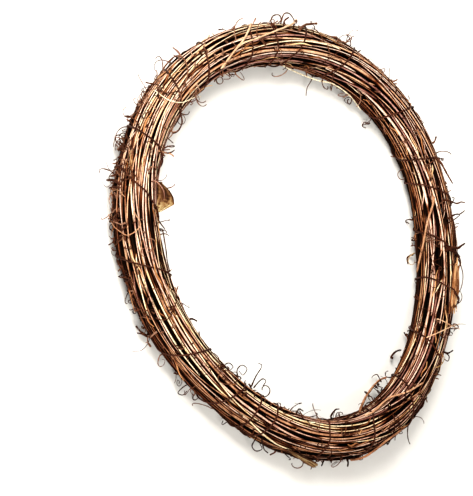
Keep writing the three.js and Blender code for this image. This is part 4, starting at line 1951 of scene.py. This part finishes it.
TWIGS = tuple(Twig(*row) for row in (
    ((163.6, 68.6, 169, 61.5, 176, 56, 183, 58, 187, 66, 187.5, 75, 183, 88, 179, 96),
     (0, 1.5, 2.2, 1.6, 0.2), (0.4, 0.32), 0.26),
    ((155, 90.5, 165, 98, 175, 102, 184, 102, 193, 98, 201, 96.5),
     (-0.5, 1.2, 1.6, 1.6, 0.5), (0.4, 0.22), PALE),
    ((179, 108, 181, 115, 182, 123, 178, 131, 173, 133.5), (0, 1, 2, 2), (0.45, 0.3)),
    ((160, 151, 166, 153, 170, 153.5, 174, 156.5), (-0.5, 0.5, 2), (0.75, 0.45), MIDDLING),
    ((168, 153, 172, 152, 174.5, 150), (0.5, 1, 2), (0.4, 0.25)),
    ((127, 150, 121, 146, 116, 141, 116, 136, 120, 135, 122, 138, 119, 142), (0, 1, 2, 3, 3), (0.34, 0.16)),
    ((126, 147, 128, 139, 124, 133, 119, 136, 121, 143), (0, 1.5, 2.5, 2), (0.34, 0.2)),
    ((133, 128, 124, 127, 118, 131, 115, 138, 113, 147), (0, 1, 2, 3), (0.3, 0.15)),
    ((122, 158, 117, 163, 114, 170, 109, 169, 106, 162), (0, 2, 4, 5), (0.26, 0.1)),
    ((121, 176, 114, 172, 109, 177, 111, 184, 106, 187, 102, 182), (0, 2, 4, 5, 5), (0.26, 0.1)),
    ((120, 184, 115, 181, 111, 180, 107, 180), (0, 1, 2, 3.5), (0.85, 0.55)),
    ((119, 188, 114, 187, 109, 188), (0, 1, 2.5), (0.5, 0.3)),
    ((124, 196, 118, 190, 112, 192, 109, 200, 112, 208), (0, 2, 3, 4), (0.24, 0.1), MIDDLING),
    ((134, 212, 140, 222, 139.5, 227, 133, 233, 126, 235, 118, 230, 113, 225, 108, 214),
     (0.2, 1.5, 2, 1.5, 1, 1, 0.5), (0.4, 0.28), 0.33),
    ((126, 232, 121, 238, 114, 240, 109, 236), (0, 1.5, 3), (0.24, 0.1)),
    ((158, 220, 161, 224, 165, 229), (0, 1, 2), (0.4, 0.25)),
    ((157, 226, 161, 231, 165, 230, 167, 233), (0, 1, 2, 2), (0.36, 0.2)),
    ((161, 229, 163, 232, 166, 250, 167.5, 262, 170, 272), (0.5, 3, 3, 0.5), (0.32, 0.26)),
    ((124, 258, 118, 256, 117, 262, 121, 268), (0, 1.5, 2, 1), (0.36, 0.25)),
    ((146, 335, 140, 331, 136, 326), (0, 1, 2.5), (0.6, 0.35)),
    ((148, 337, 142, 334, 137, 333), (0, 1, 2.5), (0.5, 0.3)),
    ((188, 384, 182, 388, 178, 393, 183, 395, 187, 391), (0, 1.5, 3, 3), (0.34, 0.18)),
    ((226, 372, 224, 366, 229, 363, 233, 367, 229, 371), (-0.5, 1, 2, 2), (0.34, 0.18)),
    ((238, 378, 237, 370, 242, 365, 247, 369, 243, 375, 239, 371), (-0.5, 1, 2.5, 2.5), (0.34, 0.16)),
    ((252, 385, 256, 376, 262, 366, 258, 363), (-0.5, 1.5, 4, 5), (0.4, 0.2)),
    ((255, 386, 262, 379, 266, 381, 263, 386), (-0.5, 1, 2, 2), (0.34, 0.2)),
    ((256, 438, 252, 446, 256, 451, 262, 449, 260, 444), (0, 1.5, 2.5, 2), (0.36, 0.2)),
    ((262, 440, 264, 449, 268, 453), (0, 1.5, 3), (0.45, 0.25)),
    ((296, 414, 299, 409, 303, 411), (-0.5, 1, 2), (0.5, 0.3)),
    ((331, 416, 335, 410, 339, 409), (-0.5, 1.5, 2.5), (0.55, 0.3)),
    ((360, 410, 363, 402.7, 367, 395, 373.7, 386, 380, 380, 386, 377.5),
     (-0.5, 2, 4, 5, 6), (1.0, 0.75), 0.32),
    ((367.6, 394.4, 366, 392.6, 364.6, 391.6), (3.4, 4, 4.4), (0.6, 0.4)),
    ((374.6, 385.6, 376.4, 387.6, 377.6, 388.2), (4.8, 5.2, 5.4), (0.6, 0.36)),
    ((380, 380, 379, 377.5, 376.7, 374.4, 373, 376, 371.8, 378), (6, 6, 6.5), (0.34, 0.18)),
    ((377.5, 383, 378, 386, 381, 387), (5, 5, 5), (0.5, 0.25)),
    ((391, 357, 395.9, 351.5, 401, 350), (-0.5, 1.5, 2.5), (0.6, 0.35)),
    ((444, 352, 449, 356, 448, 361, 444, 359), (0, 2, 2.5, 1.5), (0.38, 0.2)),
    ((352, 460, 364, 457, 375, 450, 386, 441, 396, 434, 404, 428),
     (-0.5, 2, 3, 3, 0), (0.8, 0.7), MIDDLING),
    ((388, 444, 392, 436, 395, 427, 391, 425, 388, 432), (0, 2, 3, 2), (0.4, 0.22)),
    ((416, 412, 423, 406, 424, 399, 420, 400), (0, 2, 2.5, 1.5), (0.4, 0.22)),
    ((427.4, 337.3, 436, 333.6, 444, 330, 452.7, 325.8, 459.6, 324),
     (0, 1.6, 2.4, 3, 4), (0.45, 0.28), 0.6),
    ((437.8, 319, 445, 322, 451.5, 325.8, 459.6, 329), (0, 1.5, 2.4, 3.6), (0.42, 0.26), 0.55),
    ((447, 250, 453, 247.5, 458, 248, 461, 246, 464.8, 243.4), (0, 1.5, 3, 4), (1.0, 0.4)),
    ((446, 246, 450, 250, 455, 252, 459, 257), (0.5, 1.2, 1.4, 0.4), (0.8, 0.7), 0.05),
    ((457, 257, 461, 266, 463, 276, 461.5, 287, 458, 294), (0, 1.2, 1.8, 1.2, 0), (0.3, 0.2), 0.2),
    ((453, 292, 457.5, 296, 459, 300, 457.5, 304), (0.4, 1.2, 1.4, 0.8), (0.7, 0.3), 0.05),
    ((445, 200, 451.8, 201.8, 457, 203.5, 461, 202, 464.8, 202.6), (0, 2, 4, 6), (0.6, 0.3), 0.2),
    ((449, 218, 455, 214.5, 460, 214, 464.8, 210.5), (0, 2, 4, 5), (0.6, 0.25)),
    ((450, 222, 455, 219, 460, 215), (0, 2, 4), (0.35, 0.2)),
    ((436, 158, 441, 163, 446, 172, 452.6, 183.4), (0, 1.5, 2.5, 3.5), (0.8, 0.3), 0.26),
    ((368, 124, 364.6, 122, 362, 126, 366, 128), (-0.5, 1.5, 2.5, 2), (0.4, 0.2)),
    ((413, 220, 408, 219.4, 405.5, 221.5, 409, 223.5), (-0.5, 1.5, 2.4, 1.5), (0.4, 0.22)),
    ((411, 255, 407, 258, 408, 264), (-0.5, 1, 1.5), (0.5, 0.3)),
    ((276, 27, 271, 22, 273, 16, 279, 15, 281, 20, 277, 24), (0, 1.5, 3, 3, 2), (0.45, 0.25)),
    ((281, 22, 284, 14, 289, 13.4, 293, 18, 295, 23), (0, 3, 5, 3, 1), (0.42, 0.24)),
    ((300, 29, 305, 25, 311, 24, 317, 23.4), (0, 1, 2, 3), (0.75, 0.5), 0.2),
    ((284, 66, 296, 72, 308, 77, 319, 80.7, 333, 84, 349, 95, 361, 110),
     (-1, 1, 2, 2, 1.5, 1, -0.5), (0.5, 0.4), PALE),
    ((312, 77, 311, 81, 307, 88, 306, 96), (1, 3, 7, 10), (0.34, 0.18)),
    ((434, 198, 432.6, 205.8, 429, 217, 426, 229, 423, 245, 419.4, 260, 417, 272),
     (-0.6, 0.7, 1.2, 1.3, 1.2, 0.6, -0.8), (0.82, 0.68), 0.36),
    ((366, 415, 374, 411, 389, 398, 407, 392, 422.6, 383), (-0.6, 0.8, 1.2, 0.8, -0.6), (0.78, 0.62), 0.48),
    ((251, 24, 249.7, 27.6, 244, 39, 232, 54, 221, 69), (-0.6, 0.8, 1.2, 0.8, -0.6), (0.72, 0.6), 0.44),
    ((296, 20, 290, 25, 257.8, 38, 239.4, 46, 223, 68), (-0.6, 0.8, 1.2, 0.8, -0.6), (0.7, 0.55), 0.48),
))


@dataclass
class PhotoTwigs:
    """The tendrils and loose stems that the photo shows, each rooted in the bundle's skin.

    The darkest are tendrils; the others are stems, brown or pale.
    """

    ring: Ring
    view: View
    stouter: float = 1.45
    root_depth: float = 1.6
    lowest: float = 0.7
    step: float = 0.9
    sides: int = 6
    seed: int = 3

    def build(self) -> None:
        """Makes the twigs, in one piece for each finish."""
        finishes = {"dark": TENDRIL_BARK, "brown": BROWN_BARK, "pale": STRAW_BARK}
        shells = {name: Shell(self.ring) for name in finishes}
        random = np.random.default_rng(self.seed)
        for twig in TWIGS:
            name = "dark" if twig.tone < MIDDLING else "brown" if twig.tone < PALE else "pale"
            self.add(shells[name], twig, random)
        for name, shell in shells.items():
            shell.piece(f"{name}_twigs", finishes[name])

    def add(self, shell: Shell, twig: Twig, random: Draws) -> None:
        """Adds one twig: a curve through the points where its spots lie over the bundle.

        Args:
            shell: Where it goes.
            twig: The twig.
            random: The draws.
        """
        spots = np.array(twig.spots, float).reshape(-1, 2)
        where = np.linspace(0, 1, len(spots))
        heights = np.interp(where, np.linspace(0, 1, len(twig.heights)), twig.heights)
        knots = self.view.on_bundle(self.ring, spots, heights)
        u, x, z = self.ring.unroll(knots[:1])
        sink = 1 - self.root_depth / np.hypot(x, z)
        root = self.ring.place(u, x * sink, z * sink)
        knots = np.concatenate([root, knots])
        knots[:, 2] = np.maximum(knots[:, 2], self.lowest)
        pieces = int(lengths_along(knots)[-1] / self.step / len(knots))
        path = curve_through(knots, max(3, pieces))
        share = np.linspace(0, 1, len(path))
        stouter = self.stouter if twig.tone < MIDDLING else 1.0
        taper = between(twig.radius, share) * stouter
        wave = 1 + 0.1 * np.sin(lengths_along(path) * random.uniform(0.6, 1.4) + random.uniform(0, TURN))
        offset = random.uniform(0, GRAIN_STARTS)
        shell.sprig(path, taper * wave, self.sides, twig.tone, offset, (0.1, 0.4))


@dataclass
class Shreds:
    """Narrow strips of bark that lie along the stems and lift off at one end."""

    ring: Ring
    outline: Outline
    count: int = 150
    length: Pair = (5.0, 24.0)
    width: Pair = (0.5, 1.7)
    thickness: float = 0.16
    lift: Pair = (0.2, 2.6)
    steps: int = 14
    sides: int = 6
    groups: int = 2
    seed: int = 12

    def build(self) -> None:
        """Makes the strips, in a few pieces."""
        random = np.random.default_rng(self.seed)
        shells = [Shell(self.ring, self.outline) for _ in range(self.groups)]
        for number in range(self.count):
            self.add(shells[number % self.groups], random)
        for number, shell in enumerate(shells):
            shell.piece(f"bark_shreds_{number + 1}", PAPER_BARK)

    def add(self, shell: Shell, random: Draws) -> None:
        """Adds one strip: a flat elliptic section that runs along the ring, widest in its middle.

        Args:
            shell: Where it goes.
            random: The draws.
        """
        u = random.uniform(0, TURN)
        phi = random.uniform(-0.5, math.pi + 0.5)
        length = random.uniform(*self.length)
        share = np.linspace(0, 1, self.steps)
        turn = u + random.choice([-1, 1]) * share * length / self.ring.radius
        around = phi + random.uniform(-0.25, 0.25) * share + 0.04 * np.sin(share * 7)
        lift = random.uniform(*self.lift) * share ** random.uniform(1.6, 3.5)
        out = self.outline.at(turn, around) - 0.35 + 0.5 * ease(share, 0, 0.3) + lift
        path = self.ring.around(turn, around, out)
        path[:, 2] = np.maximum(path[:, 2], 0.4)
        half = random.uniform(*self.width) / 2 * (0.35 + 0.65 * np.sin(math.pi * share**0.8))
        normal = self.ring.outwards(turn, around)
        across = unit(np.cross(headings(path), normal))
        angle = round_angles(self.sides)
        flat = self.thickness / 2
        wide, thin = flat * np.cos(angle), half[:, None] * np.sin(angle)
        radii = half[:, None] * flat / np.sqrt(wide**2 + thin**2)
        tone = random.uniform(0.2, 0.85) + 0.1 * share
        shell.tube(path, radii, across, tone, random.uniform(0, GRAIN_STARTS), (0.2, 0.2), 0.0)


def crumple(a: Array, b: Array, seed: int) -> Array:
    """Adds up seven plane waves in two directions with seeded lengths and phases, within about one.

    Args:
        a: First coordinate.
        b: Second coordinate.
        seed: Seed of the draws.

    Returns:
        The sum at each place.
    """
    random = np.random.default_rng(seed)
    total = np.zeros(np.broadcast(a, b).shape)
    for number in range(1, 8):
        turn, phase = random.uniform(0, TURN, 2)
        pitch = 2.2 * number**0.8
        total += np.sin(pitch * (a * math.cos(turn) + b * math.sin(turn)) + phase) / number**0.6
    return total / 2.4


@dataclass
class Scraps:
    """The three scraps that the CAD holds, made again as thin uneven sheets in the same places.

    Angles are in degrees. The flake's widest place and its torn end are shares of its length.
    """

    ring: Ring
    outline: Outline
    air: float = 0.34
    board: float = 0.7
    peel: Pair = (54.0, 73.5)
    peel_middle: float = 68.0
    peel_spread: float = 44.0
    peel_layers: int = 11
    peel_thickness: float = 0.3
    flake_start: float = -116.3
    flake_span: float = 9.1
    flake_phi: float = 137.0
    flake_cup: float = 20.0
    flake_width: float = 10.2
    flake_widest: float = 0.68
    flake_torn: float = 0.22
    flake_thickness: float = 0.45
    sheath_start: float = -24.5
    sheath_span: float = 11.3
    sheath_phi: float = 22.0
    sheath_tip: float = 1.0
    sheath_widening: float = 6.0
    sheath_lift: float = 3.8
    sheath_veins: float = 24.0

    def build(self) -> None:
        """Makes the three pieces."""
        self.peeled_bark()
        self.cupped_flake()
        self.pointed_sheath()

    def over(self, u: Array, phi: Array, height: Array) -> Array:
        """Gives points at a height over the bundle's outline, from angles in degrees."""
        u, phi = np.radians(u), np.radians(phi)
        return self.ring.around(u, phi, self.outline.at(u, phi) + height)

    def over_bark(self, skin: Outline) -> Outline:
        """Raises an outline where the peeled bark lies, for the wire that holds it down.

        Args:
            skin: The outline of the stems.

        Returns:
            The outline with the bark.
        """
        rows, columns = skin.reach.shape
        u = np.arange(rows) * 360 / rows
        phi = np.arange(columns) * 360 / columns
        along = ease(u, self.peel[0] - 5, self.peel[0] - 1) * ease(-u, -self.peel[1] - 5, -self.peel[1] - 1)
        across = ease(phi, 30, 40) * ease(-phi, -106, -96)
        raised = self.outline.reach + self.air + self.board + 0.3
        return Outline(np.maximum(skin.reach, along[:, None] * across[None] * raised))

    def peeled_bark(self) -> None:
        """Makes the wide strip over the outer shoulder from fibrous layers, torn at their ends."""
        random = np.random.default_rng(4)
        shell = Shell(self.ring)
        low, high = self.peel
        for layer in range(self.peel_layers):
            s, t = square(44, 8)
            share = (layer + 0.5) / self.peel_layers
            first, last = random.uniform(0, 3.5), random.uniform(0, 3.0) + 2.0 * abs(2 * share - 1)
            torn = random.uniform(-0.6, 0.6, (2, 1, 1)) * (2 * t - 1) + 0.4 * crumple(t * 5, t * 0, layer)
            u = low + first + torn[0] + s * (high - last + torn[1] - low - first - torn[0])
            waist = 0.55 + 0.45 * np.sin(math.pi * np.minimum(1, 0.3 + 0.7 * s))
            half = random.uniform(2.6, 4.6) * (0.55 + 0.45 * np.sin(math.pi * (0.08 + 0.84 * s)))
            phi = self.peel_middle + (share - 0.5) * self.peel_spread * waist
            phi = phi + (2 * t - 1) * half + 1.5 * np.sin(s * 4 + layer)
            rib = 0.18 * crumple(t * 7, s * 3, layer + 20) + 0.3 * (layer % 2) - 0.1
            curl = random.uniform(-0.2, 0.7) * np.abs(2 * t - 1) ** 3 * np.sin(math.pi * s) ** 2
            loose = random.uniform(0.0, 1.1) * (ease(s, 0.85, 1.0) + ease(-s, -0.12, 0.0))
            middle = self.over(u, phi, self.air + self.board / 2 + rib + curl + loose)
            tone = random.uniform(0.3, 0.5) + 0.5 * (layer % 2) + 0.2 * crumple(t * 6, s * 0.8, layer + 40)
            # Painted shade: each strip is darker along its edges, in the grooves between the strips
            tone = tone - 0.45 * (np.abs(2 * t - 1) > 0.5)
            shell.plate(middle, np.full(s.shape, self.peel_thickness), tone)
        shell.piece("torn_bark", PAPER_BARK, ("peeled_bark",))

    def cupped_flake(self) -> None:
        """Makes the flake that stands out into the hole: brown and creased, khaki at its torn end."""
        s, t = square(44, 26)
        swell = np.sin(math.pi / 2 * np.minimum(1, s / self.flake_widest)) ** 0.9
        profile = np.maximum(0.12, np.minimum(swell, (1 - s) / self.flake_torn))
        out = self.flake_width * t * profile * (1 + 0.03 * crumple(s * 8, t * 0, 14))
        bend = self.flake_phi - self.flake_cup * np.sin(math.pi / 2 * t) * np.sin(math.pi * s)
        u = self.flake_start + s * self.flake_span
        root = self.over(u, np.full(s.shape, self.flake_phi), self.air + self.board - 1.7 * (1 - t) ** 2)
        outward = np.stack([np.cos(np.radians(u)), np.sin(np.radians(u)), np.zeros_like(u)], -1)
        middle = root + outward * (out * np.cos(np.radians(bend)))[..., None]
        fold = crumple(s * 7, t * 5, 21) + 0.5 * crumple(s * 16, t * 12, 23)
        middle[..., 2] += out * np.sin(np.radians(bend)) + 0.5 * fold * np.sin(math.pi * t) ** 0.5
        thickness = self.flake_thickness * (1 - 0.45 * t)
        rim = ease(t, 0.84, 0.96) * (1 - 0.6 * ease(s, 0.5, 0.75))
        crease = 0.16 * np.sin(10 * t + 1.6 * fold) + 0.22 * fold
        tone = 0.2 + 0.42 * ease(s, 0.45, 0.85) - 0.45 * rim + crease
        shell = Shell(self.ring)
        shell.plate(middle, thickness, tone)
        shell.piece("creased_flake", FLAKE_SKIN, ("cupped_flake",))

    def pointed_sheath(self) -> None:
        """Makes the sheath on the outer side, pointed at its root, which lifts off to its blunt torn end."""
        s, t = square(40, 18)
        half = (self.sheath_tip + self.sheath_widening * s**0.8) / 2 * (1 + 0.05 * crumple(s * 6, t * 0, 15))
        phi = self.sheath_phi * (1 - s) + np.degrees((t - 0.5) * 2 * half / self.ring.bundle)
        hollow = 0.8 * s * (2 * t - 1) ** 2
        veins = np.cos(t * self.sheath_veins)
        fold = 0.14 * veins + 0.3 * crumple(s * 7, t * 3, 17) * s
        height = self.air + self.board / 2 + self.sheath_lift * s**1.5 - hollow + fold
        end = 1 + 0.05 * crumple(t * 9, t * 0, 16) - 0.08 * (2 * t - 1) ** 2
        middle = self.over(self.sheath_start + s * end * self.sheath_span, phi, height)
        thickness = np.full(s.shape, self.peel_thickness * 0.9)
        tone = 0.44 + 0.26 * crumple(t * 9, s * 2, 18) - 0.16 * veins - 0.3 * (t > 0.88)
        shell = Shell(self.ring)
        shell.plate(middle, thickness, tone)
        shell.piece("veined_sheath", FLAKE_SKIN, ("pointed_sheath",))


@dataclass
class Studio:
    """A pale floor, pale surroundings and three soft lamps: one by the camera, one at each side."""

    ring: Ring
    floor_size: float = 6.0
    sky: float = 0.25
    front_watts: float = 26.0
    near_watts: float = 22.5
    far_watts: float = 130.0

    def build(self) -> None:
        """Makes the floor, the surroundings and the lamps."""
        half = self.floor_size / 2
        mesh = bpy.data.meshes.new("floor")
        corners = [(-half, -half, 0), (half, -half, 0), (half, half, 0), (-half, half, 0)]
        mesh.from_pydata(corners, [], [(0, 1, 2, 3)])
        floor = shown("floor", mesh)
        mesh.materials.append(FLOOR_PAPER.material())
        world = bpy.data.worlds.new("pale_surroundings")
        world.use_nodes = True
        ground = world.node_tree.nodes["Background"]
        ground.inputs["Color"].default_value = (1.0, 0.985, 0.96, 1.0)
        ground.inputs["Strength"].default_value = self.sky
        bpy.context.scene.world = world
        bpy.context.scene.view_settings.view_transform = "Standard"
        bpy.context.scene.view_settings.look = "Medium High Contrast"
        self.lamp("front_lamp", (-0.1, -0.74, 0.67), 4.0, 1.1, self.front_watts)
        self.lamp("near_lamp", (-0.58, -0.43, 0.69), 1.1, 0.56, self.near_watts)
        self.lamp("far_lamp", (0.58, -0.43, 0.69), 4.0, 1.6, self.far_watts)

    def lamp(self, name: str, aim: Triple, far: float, size: float, watts: float) -> None:
        """Makes a square lamp.

        Args:
            name: Its name.
            aim: The direction in which it stands from the wreath.
            far: Its distance in metres.
            size: Its side in metres.
            watts: Its power.
        """
        side = unit(np.array(aim))
        middle = Vector(self.ring.middle) * MM
        data = bpy.data.lights.new(name, "AREA")
        data.shape = "SQUARE"
        data.size = size
        data.energy = watts
        data.color = (1.0, 0.97, 0.92)
        lamp = shown(name, data)
        lamp.location = middle + Vector(side * far)
        lamp.rotation_mode = "QUATERNION"
        lamp.rotation_quaternion = Vector(-side).to_track_quat("-Z", "Y")


def slots_of_nodes(record: dict) -> dict[str, str]:
    """Reads which material slot each CAD node has."""
    return {part["node"]: part["material_slot"] for part in record["subparts"]}


def main() -> None:
    """Builds the wreath's pieces in order."""
    logging.basicConfig(level=logging.INFO, format="%(name)s: %(message)s")
    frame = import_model()
    ring = Ring()
    view = View()
    view.make_camera(ring)
    Studio(ring).build()
    slots = slots_of_nodes(frame["record"])
    nodes = frame["nodes"]
    vines = Vines(ring, nodes, slots)
    stems = vines.read()
    slim = [vines.slim(s) for s in stems]
    binding = Binding(ring, nodes["binding_wire"])
    thin = ThinStems(ring)
    limit = Outline.round_stems(*tabled(stems, thin.stations).transpose(1, 0, 2))
    gaps = binding.gap_table(thin.stations, limit.columns)
    laid = thin.lay(slim, limit, gaps)
    skin = Outline.round_stems(*tabled(slim + laid, thin.stations).transpose(1, 0, 2))
    vines.build(slim, skin)
    thin.build(laid, skin)
    scraps = Scraps(ring, limit)
    binding.build(scraps.over_bark(skin))
    scraps.build()
    Wisps(ring, skin).build()
    PhotoTwigs(ring, view).build()
    Shreds(ring, skin).build()


if __name__ == "__main__":
    main()
